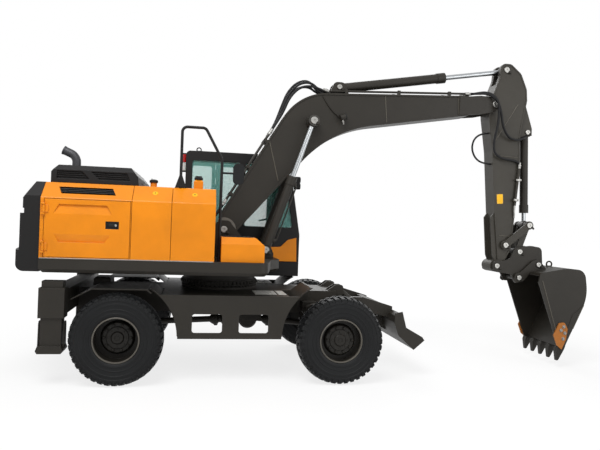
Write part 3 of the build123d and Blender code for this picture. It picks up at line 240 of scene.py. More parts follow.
def blended(tree, factor, first, second):
    node = tree.nodes.new("ShaderNodeMix")
    node.data_type = "RGBA"
    tree.links.new(factor, node.inputs["Factor"])
    for socket, value in (("A", first), ("B", second)):
        place = next(s for s in node.inputs if s.name == socket and s.type == "RGBA")
        if isinstance(value, bpy.types.NodeSocket):
            tree.links.new(value, place)
        else:
            place.default_value = (*value, 1)
    return next(s for s in node.outputs if s.type == "RGBA")


def rounded_normal(tree, radius):
    """A normal that runs round the sharp edges, as paint does."""
    node = tree.nodes.new("ShaderNodeBevel")
    node.samples = 4
    node.inputs["Radius"].default_value = radius
    return node.outputs["Normal"]


def edge_wear_and_highlight(tree, soft_normal):
    """How near a point is to a sharp edge, from 0 to 1."""
    flat = tree.nodes.new("ShaderNodeNewGeometry")
    dot = tree.nodes.new("ShaderNodeVectorMath")
    dot.operation = "DOT_PRODUCT"
    tree.links.new(soft_normal, dot.inputs[0])
    tree.links.new(flat.outputs["Normal"], dot.inputs[1])
    return spread(tree, dot.outputs["Value"], 1, 0, 0.80, 0.99)


def bump(tree, shader, height, strength, distance, normal):
    node = tree.nodes.new("ShaderNodeBump")
    node.inputs["Strength"].default_value = strength
    node.inputs["Distance"].default_value = distance
    tree.links.new(height, node.inputs["Height"])
    tree.links.new(normal, node.inputs["Normal"])
    tree.links.new(node.outputs["Normal"], shader.inputs["Normal"])


def shade(colour, amount):
    return tuple(min(1, value * amount) for value in colour)


# Masks over a finish, in the scene's own metres

def apart(tree):
    """The X, Y and Z of a point."""
    node = tree.nodes.new("ShaderNodeSeparateXYZ")
    tree.links.new(object_point(tree), node.inputs["Vector"])
    return node.outputs


def reckon(tree, operation, *values):
    """One step of arithmetic on sockets and plain numbers."""
    node = tree.nodes.new("ShaderNodeMath")
    node.operation = operation
    for place, value in zip(node.inputs, values):
        if isinstance(value, bpy.types.NodeSocket):
            tree.links.new(value, place)
        else:
            place.default_value = value
    return node.outputs["Value"]


def within(low, high):
    """A mask that is 1 inside a box on either side of the machine."""
    def mask(tree):
        x, y, z = apart(tree)
        total = None
        for value, first, last in zip((x, reckon(tree, "ABSOLUTE", y), z), low, high):
            hit = reckon(tree, "COMPARE", value, (first + last) / 2, (last - first) / 2)
            total = hit if total is None else reckon(tree, "MULTIPLY", total, hit)
        return total
    return mask


def around(place, radius):
    """A mask that is 1 near a cross pin, wherever the point is along Y."""
    def mask(tree):
        point = apart(tree)
        over = reckon(tree, "POWER", reckon(tree, "SUBTRACT", point["X"], place.x), 2)
        up = reckon(tree, "POWER", reckon(tree, "SUBTRACT", point["Z"], place.z), 2)
        return reckon(tree, "LESS_THAN", reckon(tree, "ADD", over, up), radius ** 2)
    return mask


def slanted(low, high, lean):
    """A mask that is 1 inside a box whose ends lean by lean for each metre of height over its floor."""
    def mask(tree):
        x, y, z = apart(tree)
        rise = reckon(tree, "MULTIPLY", reckon(tree, "SUBTRACT", z, low.z), lean)
        along = reckon(tree, "ADD", x, rise)
        hit = reckon(tree, "COMPARE", along, (low.x + high.x) / 2, (high.x - low.x) / 2)
        level = reckon(tree, "COMPARE", z, (low.z + high.z) / 2, (high.z - low.z) / 2)
        side = reckon(tree, "GREATER_THAN", reckon(tree, "ABSOLUTE", y), low.y)
        return reckon(tree, "MULTIPLY", hit, reckon(tree, "MULTIPLY", level, side))
    return mask


# Finishes

def painted_steel(name, colour, roughness, edge, radius=0.006, coat=0.0, patches=(), shine=0.25):
    """Sprayed paint: faint cloudiness, orange peel, edges lighter as wear and painted highlight, and patches
    of other colours.
    """
    tree, shader = new_finish(name)
    point = object_point(tree)
    cloud = noise(tree, point, 2.2, detail=5, roughness=0.55)
    base = ramp(tree, cloud, (0.3, shade(colour, 0.88)), (0.7, shade(colour, 1.08)))
    soft = rounded_normal(tree, radius)
    # Edges are painted lighter: partly edge wear, partly a painted highlight along the edges.
    base = blended(tree, spread(tree, edge_wear_and_highlight(tree, soft), 0, 0.45), base, edge)
    for mask, patch in patches:
        base = blended(tree, mask(tree), base, patch)
    tree.links.new(base, shader.inputs["Base Color"])
    gloss = noise(tree, point, 14, detail=4)
    tree.links.new(spread(tree, gloss, roughness - 0.07, roughness + 0.09), shader.inputs["Roughness"])
    shader.inputs["Specular IOR Level"].default_value = shine
    shader.inputs["Coat Weight"].default_value = coat
    shader.inputs["Coat Roughness"].default_value = 0.12
    bump(tree, shader, noise(tree, point, 420, detail=2), strength=0.05, distance=0.002, normal=soft)


def bare_metal(name, colour, roughness, painted=None, paint=None):
    """Bare steel with fine streaks; painted is a mask of the ends that carry paint."""
    tree, shader = new_finish(name)
    streak = noise(tree, object_point(tree), 26, detail=4, roughness=0.6)
    base = ramp(tree, streak, (0.3, shade(colour, 0.9)), (0.7, shade(colour, 1.06)))
    rough = spread(tree, streak, roughness - 0.05, roughness + 0.08)
    if painted is None:
        shader.inputs["Metallic"].default_value = 1
    else:
        cover = painted(tree)
        base = blended(tree, cover, base, paint)
        rough = reckon(tree, "MAXIMUM", rough, spread(tree, cover, 0, 0.5))
        tree.links.new(spread(tree, cover, 1, 0), shader.inputs["Metallic"])
    tree.links.new(base, shader.inputs["Base Color"])
    tree.links.new(rough, shader.inputs["Roughness"])
    bump(tree, shader, streak, strength=0.02, distance=0.0005, normal=rounded_normal(tree, 0.003))


def rubber(name, colour, roughness, scale, shine=0.2):
    """Rubber, cloth or moulded plastic with a fine grain and a little dust."""
    tree, shader = new_finish(name)
    point = object_point(tree)
    grain = noise(tree, point, scale, detail=5, roughness=0.6)
    dust = noise(tree, point, 3, detail=4)
    base = ramp(tree, dust, (0.35, shade(colour, 0.8)), (0.75, shade(colour, 1.35)))
    tree.links.new(base, shader.inputs["Base Color"])
    tree.links.new(spread(tree, grain, roughness - 0.1, roughness + 0.1), shader.inputs["Roughness"])
    shader.inputs["Specular IOR Level"].default_value = shine
    bump(tree, shader, grain, strength=0.15, distance=0.002, normal=rounded_normal(tree, 0.004))


def clear_glass(name, colour, alpha):
    tree, shader = new_finish(name)
    haze = noise(tree, object_point(tree), 1.6)
    tree.links.new(ramp(tree, haze, (0.3, colour), (0.7, shade(colour, 1.06))), shader.inputs["Base Color"])
    tree.links.new(spread(tree, haze, 0.02, 0.07), shader.inputs["Roughness"])
    shader.inputs["Alpha"].default_value = alpha
    shader.inputs["IOR"].default_value = 1.45


def rod_ends(tree):
    """A mask of the painted eyes of the cylinder rods."""
    total = None
    for (x, z), radius in ROD_EYES:
        hit = around(at(x, 0, z), radius * MM)(tree)
        total = hit if total is None else reckon(tree, "MAXIMUM", total, hit)
    return total


def make_finishes(paints):
    dark = srgb("141414")
    louvre = slanted(at(-1825, 950, 2151), at(-1242, 1220, 2228), 0.58)
    latch_well = within(at(-1345, 1100, 1760), at(-1180, 1216.5, 1865))
    # The boom foot is painted a lighter grey: partly the casting's own tone, partly a painted highlight.
    foot_tone_and_highlight = around(at(BOOM_FOOT[0], 0, BOOM_FOOT[1]), 160 * MM)
    door_panel = within(at(-80, 1180, 1400), at(840, 1240, 1846))
    # The edge colours below are lighter than each paint: partly edge wear, partly a painted highlight.
    edge = shade(paints.frame, 1.7)
    pale = shade(paints.weight, 1.9)
    painted_steel("Orange paint", paints.body, 0.36, shade(paints.body, 1.15), radius=0.010, coat=0.12,
                  patches=((louvre, dark), (latch_well, dark)))
    painted_steel("Dark frame paint", paints.frame, 0.46, edge)
    painted_steel("Boom paint", paints.frame, 0.42, edge, patches=((foot_tone_and_highlight, srgb("6A665F")),))
    painted_steel("Grey arm paint", paints.arm, 0.45, shade(paints.arm, 1.7))
    painted_steel("Black textured paint", paints.weight, 0.5, pale, radius=0.012)
    painted_steel("Cab door paint", paints.weight, 0.45, pale, radius=0.010, coat=0.2,
                  patches=((door_panel, paints.body),))
    painted_steel("Cast iron paint", shade(paints.frame, 0.8), 0.55, paints.frame, radius=0.008)
    painted_steel("Wheel paint", shade(paints.frame, 0.55), 0.42, shade(paints.frame, 1.3), radius=0.005)
    # The rim lips are painted a lighter grey: a painted highlight along the lip.
    painted_steel("Rim lip with painted highlight", srgb("57534C"), 0.35, srgb("7A766E"), radius=0.003, shine=0.4)
    painted_steel("Yellow plate", paints.plate, 0.4, shade(paints.plate, 1.2), radius=0.003)
    # Weld beads are painted lighter than the parts they join: a painted highlight along the raised beads.
    painted_steel("Weld bead paint with painted highlight", srgb("58544C"), 0.4, srgb("6B675F"), radius=0.003)
    # The tread plates get a pale non-metallic paint: the galvanised plate's own pale grey, lightened as a
    # painted highlight that stays bright in shade.
    painted_steel("Galvanised tread plate with painted highlight", srgb("C4C2BC"), 0.4, srgb("E0DED8"), radius=0.004, shine=0.5)
    painted_steel("Cutter paint", srgb("A8672A"), 0.5, srgb("C98A45"), radius=0.003)
    bare_metal("Worn steel", srgb("8C8A86"), 0.42)
    bare_metal("Bright pin steel", srgb("A5A4A0"), 0.38)
    bare_metal("Sooty exhaust steel", srgb("4A4A4C"), 0.5)
    bare_metal("Mirror glass", srgb("C9D2D4"), 0.08)
    bare_metal("Chromed rod", srgb("A9ACAE"), 0.24, painted=rod_ends, paint=paints.frame)
    rubber("Tyre rubber", paints.tyre, 0.5, 160, shine=0.22)
    rubber("Hose rubber", srgb("1B1B1C"), 0.5, 240)
    rubber("Moulded plastic", srgb("18191A"), 0.48, 500)
    rubber("Woven cloth", srgb("26282C"), 0.9, 900)
    clear_glass("Pale green glass", srgb("93DED3"), 0.24)
    clear_glass("Clear lamp lens", srgb("E8ECEC"), 0.75)
    clear_glass("Red lamp lens", srgb("B3120E"), 0.92)


NODE_FINISH = {
    "Orange paint": (
        "engine_bay", "side_door_right", "side_door_left", "hydraulic_tank", "fuel_tank", "battery_box",
        "tool_box", "cab_side_panel"),
    "Dark frame paint": (
        "chassis_frame", "tow_eye", "blade", "coupler", "bucket", "outrigger_sleeves", "outrigger_leg_left",
        "outrigger_leg_right", "swing_frame", "boom_cylinder_barrels", "arm_cylinder_barrel",
        "bucket_cylinder_barrel", "blade_cylinder_barrels"),
    "Boom paint": ("boom",),
    "Grey arm paint": ("arm", "rocker_links", "h_link"),
    "Black textured paint": ("counterweight", "engine_hood", "handrail", "cab_frame"),
    "Cab door paint": ("cab_door",),
    "Cast iron paint": (
        "rear_axle", "front_axle", "gearbox", "knuckle_left", "knuckle_right", "engine", "slew_ring",
        "drive_shafts", "bucket_teeth"),
    "Wheel paint": tuple("rim_" + wheel for wheel in WHEELS),
    "Worn steel": ("steering_cylinder",),
    "Sooty exhaust steel": ("exhaust",),
    "Chromed rod": (
        "steering_rod", "boom_cylinder_rods", "arm_cylinder_rod", "bucket_cylinder_rod",
        "blade_cylinder_rods"),
    "Tyre rubber": tuple("tyre_" + wheel for wheel in WHEELS),
    "Moulded plastic": ("mirror_right", "cab_console"),
    "Woven cloth": ("operator_seat",),
    "Pale green glass": ("cab_glass", "cab_door_glass"),
    "Cutter paint": ("side_cutters",),
}


class EXCAVATOR_OT_stage(bpy.types.Operator):
    """Makes the floor, the studio light and the camera"""

    bl_idname = "excavator.stage"
    bl_label = "Stage"

    # Name, place, aim, size and power of each lamp, in metres and watts
    lamps = (
        ("Key", (-4.0, -6.5, 10.0), (0, 0, 1.4), 6.0, 820),
        ("Fill", (7.5, -8.0, 4.0), (0.5, 0, 1.5), 6.0, 240),
        ("Back", (1.0, 9.0, 7.5), (0, 0, 1.6), 7.0, 420))
    sky_level = 0.42
    floor_half = 60
    glow_level = 1.05
    glow_near = 0.75
    glow_fade = (4.5, 9)
    camera_place = (-1.741, -8.188, 1.895)
    camera_turn = math.radians(10)
    camera_roll = math.radians(2.1)
    focal = 36

    def execute(self, context):
        scene = context.scene
        scene.view_settings.view_transform = "Standard"
        self.make_world(scene)
        self.make_floor(scene)
        for name, place, aim, size, power in self.lamps:
            lamp = bpy.data.lights.new(name, "AREA")
            lamp.size = size
            lamp.energy = power
            holder = bpy.data.objects.new(name, lamp)
            holder.location = place
            holder.rotation_euler = (Vector(aim) - Vector(place)).to_track_quat("-Z", "Y").to_euler()
            scene.collection.objects.link(holder)
        self.make_camera(scene)
        return {"FINISHED"}

    def make_world(self, scene):
        world = bpy.data.worlds.new("Studio")
        scene.world = world
        world.use_nodes = True
        tree = world.node_tree
        background = tree.nodes["Background"]
        background.inputs["Color"].default_value = (1, 1, 1, 1)
        tree.links.new(self.seen_rays(tree, self.sky_level), background.inputs["Strength"])

    def seen_rays(self, tree, dim):
        """1 for rays that show the background, and dim for those that only light the object."""
        rays = tree.nodes.new("ShaderNodeLightPath").outputs
        glossy = reckon(tree, "MAXIMUM", rays["Is Camera Ray"], rays["Is Glossy Ray"])
        return spread(tree, reckon(tree, "MAXIMUM", glossy, rays["Is Transmission Ray"]), dim, 1)

    def make_floor(self, scene):
        bm = bmesh.new()
        bmesh.ops.create_grid(bm, x_segments=1, y_segments=1, size=self.floor_half)
        mesh = bpy.data.meshes.new("Floor")
        bm.to_mesh(mesh)
        bm.free()
        floor = bpy.data.objects.new("Floor", mesh)
        scene.collection.objects.link(floor)
        tree, shader = new_finish("Pale floor")
        point = object_point(tree)
        tree.links.new(ramp(tree, noise(tree, point, 0.4), (0, srgb("F2F2F2")), (1, srgb("F7F7F7"))),
                       shader.inputs["Base Color"])
        shader.inputs["Roughness"].default_value = 0.9
        shader.inputs["Specular IOR Level"].default_value = 0.1
        glow = tree.nodes.new("ShaderNodeEmission")
        glow.inputs["Strength"].default_value = self.glow_level
        away = tree.nodes.new("ShaderNodeVectorMath")
        away.operation = "LENGTH"
        tree.links.new(point, away.inputs[0])
        share = spread(tree, away.outputs["Value"], self.glow_near, 1, *self.glow_fade)
        plain = shader.outputs["BSDF"]
        seen = self.mixed(tree, share, plain, glow.outputs["Emission"])
        both = self.mixed(tree, self.seen_rays(tree, 0), plain, seen)
        tree.links.new(both, tree.nodes["Material Output"].inputs["Surface"])
        mesh.materials.append(bpy.data.materials["Pale floor"])

    def mixed(self, tree, factor, first, second):
        node = tree.nodes.new("ShaderNodeMixShader")
        for place, value in zip(node.inputs, (factor, first, second)):
            tree.links.new(value, place)
        return node.outputs["Shader"]

    def make_camera(self, scene):
        level = Vector((math.cos(self.camera_turn), -math.sin(self.camera_turn), 0))
        vertical = Vector(UP)
        right = math.cos(self.camera_roll) * level + math.sin(self.camera_roll) * vertical
        above = math.cos(self.camera_roll) * vertical - math.sin(self.camera_roll) * level
        back = -Vector((math.sin(self.camera_turn), math.cos(self.camera_turn), 0))
        lens = bpy.data.cameras.new("Camera")
        lens.lens = self.focal
        lens.sensor_width = 36
        camera = bpy.data.objects.new("Camera", lens)
        axes = Matrix((right, above, back)).transposed().to_4x4()
        camera.matrix_world = Matrix.Translation(self.camera_place) @ axes
        scene.collection.objects.link(camera)
        scene.camera = camera


class EXCAVATOR_OT_paint(bpy.types.Operator):
    """Gives every CAD node its finish"""

    bl_idname = "excavator.paint"
    bl_label = "Paint"

    def execute(self, context):
        make_finishes(context.scene.excavator_paints)
        for finish, names in NODE_FINISH.items():
            for name in names:
                if name not in frame["nodes"]:
                    raise RuntimeError("no node called " + name)
                materials = frame["nodes"][name].data.materials
                materials.clear()
                materials.append(bpy.data.materials[finish])
        return {"FINISHED"}


# Mesh helpers shared by the pieces

def kept(bm, name):
    bmesh.ops.recalc_face_normals(bm, faces=bm.faces)
    mesh = bpy.data.meshes.new(name)
    bm.to_mesh(mesh)
    bm.free()
    return mesh


def turned(steps, *profile):
    """A closed mesh turned about Z from (radius, height) points."""
    points = list(profile)
    if points[0][0] and not points[-1][0]:
        points.insert(0, (0, points[0][1]))
    elif points[-1][0] and not points[0][0]:
        points.append((0, points[-1][1]))
    elif points[0][0]:
        points.append(points[0])
    bm = bmesh.new()
    verts = [bm.verts.new((radius * MM, 0, height * MM)) for radius, height in points]
    edges = [bm.edges.new(pair) for pair in zip(verts, verts[1:])]
    bmesh.ops.spin(bm, geom=verts + edges, cent=(0, 0, 0), axis=UP, angle=math.tau, steps=steps,
                   use_merge=True)
    bmesh.ops.remove_doubles(bm, verts=bm.verts, dist=1e-6)
    return kept(bm, "turned")


def rounded_off(bm, bevel, segments=1):
    bmesh.ops.bevel(bm, geom=bm.edges, offset=bevel * MM, affect="EDGES", segments=segments, profile=0.5,
                    material=-1)


def block(sizes, bevel, segments=1):
    """A mesh of a box about its middle, with bevelled edges."""
    bm = bmesh.new()
    bmesh.ops.create_cube(bm, size=1)
    bmesh.ops.scale(bm, vec=Vector(sizes) * MM, verts=bm.verts)
    rounded_off(bm, bevel, segments)
    return kept(bm, "block")


def sheet_form(points, thickness, bevel):
    """A mesh of a plate from an outline of (x, z) points about its middle plane y = 0."""
    bm = bmesh.new()
    near = -thickness / 2
    face = bm.faces.new([bm.verts.new(Vector((x, near, z)) * MM) for x, z in points])
    made = bmesh.ops.extrude_face_region(bm, geom=[face])
    fresh = [item for item in made["geom"] if isinstance(item, bmesh.types.BMVert)]
    bmesh.ops.translate(bm, vec=(0, thickness * MM, 0), verts=fresh)
    rounded_off(bm, bevel)
    return kept(bm, "plate")


def ring_form(radius, thickness):
    """A mesh of a round bar bent to a ring about Z."""
    turns = [math.tau * number / 10 for number in range(10)]
    return turned(32, *[(radius + thickness * math.cos(a), thickness * math.sin(a)) for a in turns])


def stamp(bm, mesh, matrix):
    """Adds a copy of a small mesh to a growing piece."""
    count = len(bm.verts)
    bm.from_mesh(mesh)
    bm.verts.ensure_lookup_table()
    bmesh.ops.transform(bm, matrix=matrix, verts=bm.verts[count:])


def bolt_form(width):
    """A hexagon head on a washer, standing on z = 0."""
    half = width / 2
    washer = ((half * 1.25, 0), (half * 1.25, half * 0.2), (half, half * 0.26), (0, half * 0.26))
    head = ((half, half * 0.2), (half, half * 0.8), (half * 0.86, half * 0.95), (0, half * 0.95))
    bm = bmesh.new()
    stamp(bm, turned(16, *washer), Matrix.Identity(4))
    stamp(bm, turned(6, *head), Matrix.Identity(4))
    return kept(bm, "bolt")


def facing(place, direction, spin=0.0):
    """The matrix that stands a turned mesh on a place, with its axis along a direction."""
    aim = Vector(direction).to_track_quat("Z", "Y").to_matrix().to_4x4()
    return Matrix.Translation(place) @ aim @ Matrix.Rotation(spin, 4, "Z")


def upright(x, y, z):
    """The matrix that stands a turned mesh upright on a point given as for at."""
    return facing(at(x, y, z), UP)


def add_mesh(name, mesh, finish, body, smooth=35):
    mesh.materials.clear()
    mesh.materials.append(bpy.data.materials[finish])
    mesh.shade_smooth()
    mesh.set_sharp_from_angle(angle=math.radians(smooth))
    piece = bpy.data.objects.new(name, mesh)
    bpy.context.scene.collection.objects.link(piece)
    if body is not None:
        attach(piece, body)
    return piece


def make(name, parts, finish, body, smooth=35):
    """A piece built of (mesh, matrix) parts."""
    bm = bmesh.new()
    for mesh, matrix in parts:
        stamp(bm, mesh, matrix)
    return add_mesh(name, kept(bm, name), finish, body, smooth)


def tube_along(name, points, diameter):
    """The mesh of a round tube on a smooth line that the points steer, and the places the line passes."""
    curve = bpy.data.curves.new(name, "CURVE")
    curve.dimensions = "3D"
    spline = curve.splines.new("NURBS")
    spline.points.add(len(points) - 1)
    for point, place in zip(spline.points, points):
        point.co = (*place, 1)
    spline.order_u = 3
    spline.use_endpoint_u = True
    curve.resolution_u = 10
    line = bpy.data.objects.new(name, curve)
    bpy.context.scene.collection.objects.link(line)
    bare = bpy.data.meshes.new_from_object(line)
    path = [vert.co.copy() for vert in bare.vertices]
    curve.bevel_depth = diameter / 2
    curve.bevel_resolution = 4
    curve.use_fill_caps = True
    curve.update_tag()
    bpy.context.view_layer.update()
    mesh = bpy.data.meshes.new_from_object(line)
    bpy.data.objects.remove(line)
    return mesh, path


def pipe_part(route, diameter):
    """A mesh and matrix for make: a pipe along a route of (x, y, z) places."""
    mesh = tube_along("pipe", [at(*place) for place in route], diameter * MM)[0]
    return mesh, Matrix.Identity(4)


def add_hose(name, route, diameter, body=None, joint=None):
    """A rubber hose along a route, with its diameter in metres.

    joint gives two bodies, and where bending would start and end; only whether it is given is used, and then
    the hose's place is baked into its mesh.
    """
    points = [at(*place) for place in route]
    mesh, path = tube_along(name, points, diameter)
    piece = add_mesh(name, mesh, "Hose rubber", body, 60)
    if joint is not None:
        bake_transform(piece)
    return points


# Running gear

class EXCAVATOR_OT_tyres(bpy.types.Operator):
    """Makes the four tyres with their tread lugs"""

    bl_idname = "excavator.tyres"
    bl_label = "Tyres"

    half_profile = (
        (262, 116), (276, 127), (290, 130), (292, 135), (308, 136), (311, 132), (338, 134), (341, 138),
        (352, 138), (355, 134.5), (394, 137), (397, 140), (414, 140), (417, 136), (440, 134.5), (444, 139),
        (456, 137.5), (460, 130), (484, 125), (499, 108), (505, 70), (507, 0))
    tread_radius = 515
    lug_foot = 504.5
    shoulder_out = 92
    shoulder_slant = 0.16
    middle_out = 18
    middle_slant = 0.35
    side_foot = 474
    side_out = 128
    side_lean = -72

    def execute(self, context):
        sizes = context.scene.excavator_sizes
        far_half = [(radius, -across) for radius, across in reversed(self.half_profile[:-1])]
        carcass = turned(96, *self.half_profile, *far_half)
        pitch = math.tau * self.tread_radius / sizes.lugs
        height = sizes.lug_height / MM
        shoulder = self.lug(pitch * 0.66, 88, height, 18)
        middle = self.lug(pitch * 0.60, 40, height, 0)
        side_lug = self.lug(pitch * 0.50, 46, 8, 4)
        rows = []
        for across, late in ((1, 0), (-1, 0.5)):
            flip = Matrix.Scale(across, 4, UP)
            for mesh, phase, out, slant in (
                    (shoulder, late, self.shoulder_out, self.shoulder_slant),
                    (middle, 0.5 - late, self.middle_out, self.middle_slant)):
                lean = Matrix.Rotation(across * slant, 4, "X")
                rows.append((mesh, phase, nudge(self.lug_foot, 0, across * out) @ lean @ flip))
            beside = nudge(self.side_foot, 0, across * self.side_out)
            rows.append((side_lug, late, beside @ flip @ turn("Y", self.side_lean)))
        for wheel, (axle_x, side) in WHEELS.items():
            stand = facing(at(axle_x, side * TRACK_HALF, WHEEL_Z), (0, side, 0))
            parts = [(carcass, stand)]
            for number in range(sizes.lugs):
                for mesh, phase, place in rows:
                    spin = turn("Z", 360 * (number + phase) / sizes.lugs)
                    parts.append((mesh, stand @ spin @ place))
            piece = make("tread_" + wheel, parts, "Tyre rubber", "wheel_" + wheel)
            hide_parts("tyre_" + wheel)
        return {"FINISHED"}

    def lug(self, length, width, height, drop):
        """A block that stands out along X, with its outer end, along Z, falling by drop."""
        bm = bmesh.new()
        bmesh.ops.create_cube(bm, size=1)
        bmesh.ops.scale(bm, vec=Vector((height, length, width)) * MM, verts=bm.verts)
        top = [vert for vert in bm.verts if vert.co.x > 0]
        bmesh.ops.scale(bm, vec=(1, 0.84, 0.94), verts=top)
        outer = [vert for vert in bm.verts if vert.co.z > 0]
        bmesh.ops.translate(bm, vec=(-drop * MM, 0, 0), verts=outer)
        bmesh.ops.translate(bm, vec=(height * MM / 2, 0, 0), verts=bm.verts)
        return kept(bm, "lug")


class EXCAVATOR_OT_hubs(bpy.types.Operator):
    """Makes the hub covers, rim lips, wheel nuts and tyre valves"""

    bl_idname = "excavator.hubs"
    bl_label = "Hubs"

    cover = ((128, 0), (128, 10), (122, 16), (75, 16), (70, 26), (62, 32), (30, 32), (26, 24), (0, 24))
    lip = ((262, -16), (262, 4), (256, 9), (248, 9), (244, 3), (244, -16))
    nut = ((19, 0), (19, 14), (16, 18), (10, 18), (10, 26), (0, 26))
    screw = ((12, 0), (12, 8), (0, 9))
    stem = ((6, 0), (6, 45), (9, 47), (9, 62), (0, 64))
    stem_place = (225, 0, -40)
    stem_turn = 2.2
    cover_sunk = 1

    def execute(self, context):
        cover = turned(48, *self.cover)
        lip = turned(64, *self.lip)
        stem = turned(12, *self.stem)
        # Mesh, count, radius and height of each ring of fasteners
        rings = ((turned(6, *self.nut), 10, 150, 0), (turned(6, *self.screw), 8, 98, 16))
        for wheel, (axle_x, side) in WHEELS.items():
            outer = facing(at(axle_x, side * (WHEEL_OUT - LIP_IN), WHEEL_Z), (0, side, 0))
            # The lip's lighter grey is a painted highlight.
            make("rim_lip_" + wheel, [(lip, outer)], "Rim lip with painted highlight", "wheel_" + wheel)
            inset = HUB_RECESS[axle_x] + self.cover_sunk
            face = facing(at(axle_x, side * (WHEEL_OUT - inset), WHEEL_Z), (0, side, 0))
            stem_spin = Matrix.Rotation(self.stem_turn, 4, "Z")
            parts = [(cover, face), (stem, face @ stem_spin @ nudge(*self.stem_place))]
            for mesh, count, radius, height in rings:
                parts += [(mesh, face @ turn("Z", 360 * number / count) @ nudge(radius, 0, height))
                          for number in range(count)]
            make("hub_" + wheel, parts, "Wheel paint", "wheel_" + wheel)
        return {"FINISHED"}


class EXCAVATOR_OT_driveline(bpy.types.Operator):
    """Makes the universal joints on the drive shafts"""

    bl_idname = "excavator.driveline"
    bl_label = "Drive joints"

    yoke = ((40, 0), (58, 20), (80, 60), (80, 100), (52, 120), (52, 150), (80, 170), (80, 210), (58, 250),
            (40, 270))
    pin = ((0, -88), (22, -88), (26, -80), (26, 80), (22, 88), (0, 88))
    # X and Z of each shaft's ends, and of the place where its joint starts
    shafts = (((-940, 545), (240, 600), (-110, 583.7)), ((540, 600), (1180, 545), (600, 594.8)))

    def execute(self, context):
        yoke = turned(24, *self.yoke)
        pin = turned(16, *self.pin)
        parts = []
        for (rear_x, rear_z), (front_x, front_z), (x, z) in self.shafts:
            place = facing(at(x, 0, z), (front_x - rear_x, 0, front_z - rear_z))
            parts += [(yoke, place), (pin, place @ nudge(0, 0, 80) @ turn("X", 90)),
                      (pin, place @ nudge(0, 0, 190) @ turn("Z", 90) @ turn("X", 90))]
        make("drive_joints", parts, "Cast iron paint", "chassis")
        return {"FINISHED"}


class EXCAVATOR_OT_treads(bpy.types.Operator):
    """Lays the tread plates on the chassis deck"""

    bl_idname = "excavator.treads"
    bl_label = "Tread plates"

    spans = ((400, 672), (690, 790))
    middle = 700
    depth = 400
    thick = 6
    sunk = 1
    pitch = 34

    def execute(self, context):
        bar = block((26, 7, 6), 2)
        top = DECK_TOP + self.thick - self.sunk
        parts = []
        for side in (-1, 1):
            for low, high in self.spans:
                plate = block((high - low, self.depth, self.thick), 2)
                parts.append((plate, shift((low + high) / 2, side * self.middle, top - self.thick / 2)))
                edge = side * self.middle - self.depth / 2
                for row in range(int((high - low) / self.pitch)):
                    for column in range(int(self.depth / self.pitch)):
                        spot = shift(low + self.pitch * (row + 0.5), edge + self.pitch * (column + 0.5), top)
                        parts.append((bar, spot @ turn("Z", 45 if (row + column) % 2 else -45)))
        # The plates' pale paint is partly a painted highlight.
        make("deck_treads", parts, "Galvanised tread plate with painted highlight", "chassis")
        return {"FINISHED"}


class EXCAVATOR_OT_feet(bpy.types.Operator):
    """Makes the straps and cross pins of the outrigger feet"""

    bl_idname = "excavator.feet"
    bl_label = "Outrigger feet"

    half_strap = ((28, 330), (45, 300), (58, 50), (52, 15), (30, 0))
    half_pin = ((0, 150), (20, 150), (24, 146), (24, 138), (16, 134))
    strap_out = 134
    foot = (-1882, 1102, 395)
    pin_rise = 45

    def execute(self, context):
        outline = [*self.half_strap, *[(-x, z) for x, z in reversed(self.half_strap)]]
        strap = sheet_form(outline, 16, 3)
        pin = turned(20, *self.half_pin, *[(radius, -height) for radius, height in reversed(self.half_pin)])
        x, y, z = self.foot
        for label, side in SIDES:
            parts = [(strap, shift(x + end * self.strap_out, side * y, z) @ turn("Z", 90)) for end in (-1, 1)]
            parts.append((pin, facing(at(x, side * y, z + self.pin_rise), AHEAD)))
            make("foot_straps_" + label, parts, "Dark frame paint", "outrigger_" + label)
        return {"FINISHED"}


# Pins, bolts and weld beads

class EXCAVATOR_OT_pins(bpy.types.Operator):
    """Makes the bright pin heads with their keeper plates"""

    bl_idname = "excavator.pins"
    bl_label = "Pin heads"

    # Outline of a keeper plate and place of its bolt, in radii of the pin
    keeper = ((0.72, -0.34), (1.85, -0.34), (2.05, 0), (1.85, 0.34), (0.72, 0.34))
    bolt_at = 1.5
    bolt_share = 0.7
    keeper_thick = 8
    keeper_out = 14
    keeper_turn = 0.7

    def execute(self, context):
        bolt = bolt_form(context.scene.excavator_sizes.bolt / MM * self.bolt_share)
        for name, (body, (pin_x, pin_z), reach, size) in PINS.items():
            head = turned(32, (size, -4), (size, 10), (size - 5, 15), (size * 0.3, 15), (size * 0.22, 8),
                          (0, 8))
            keeper = sheet_form([(size * x, size * z) for x, z in self.keeper], self.keeper_thick, 2)
            heads = []
            keepers = []
            for side in (-1, 1):
                out = (0, side, 0)
                heads.append((head, facing(at(pin_x, side * reach, pin_z), out)))
                place = shift(pin_x, side * (reach + self.keeper_out), pin_z)
                lean = place @ Matrix.Rotation(self.keeper_turn, 4, "Y")
                keepers.append((keeper, lean))
                spot = lean @ nudge(self.bolt_at * size, side * 3, 0)
                keepers.append((bolt, spot @ facing((0, 0, 0), out)))
            make("pin_" + name, heads, "Bright pin steel", body)
            make("keeper_" + name, keepers, "Dark frame paint", body)
        return {"FINISHED"}


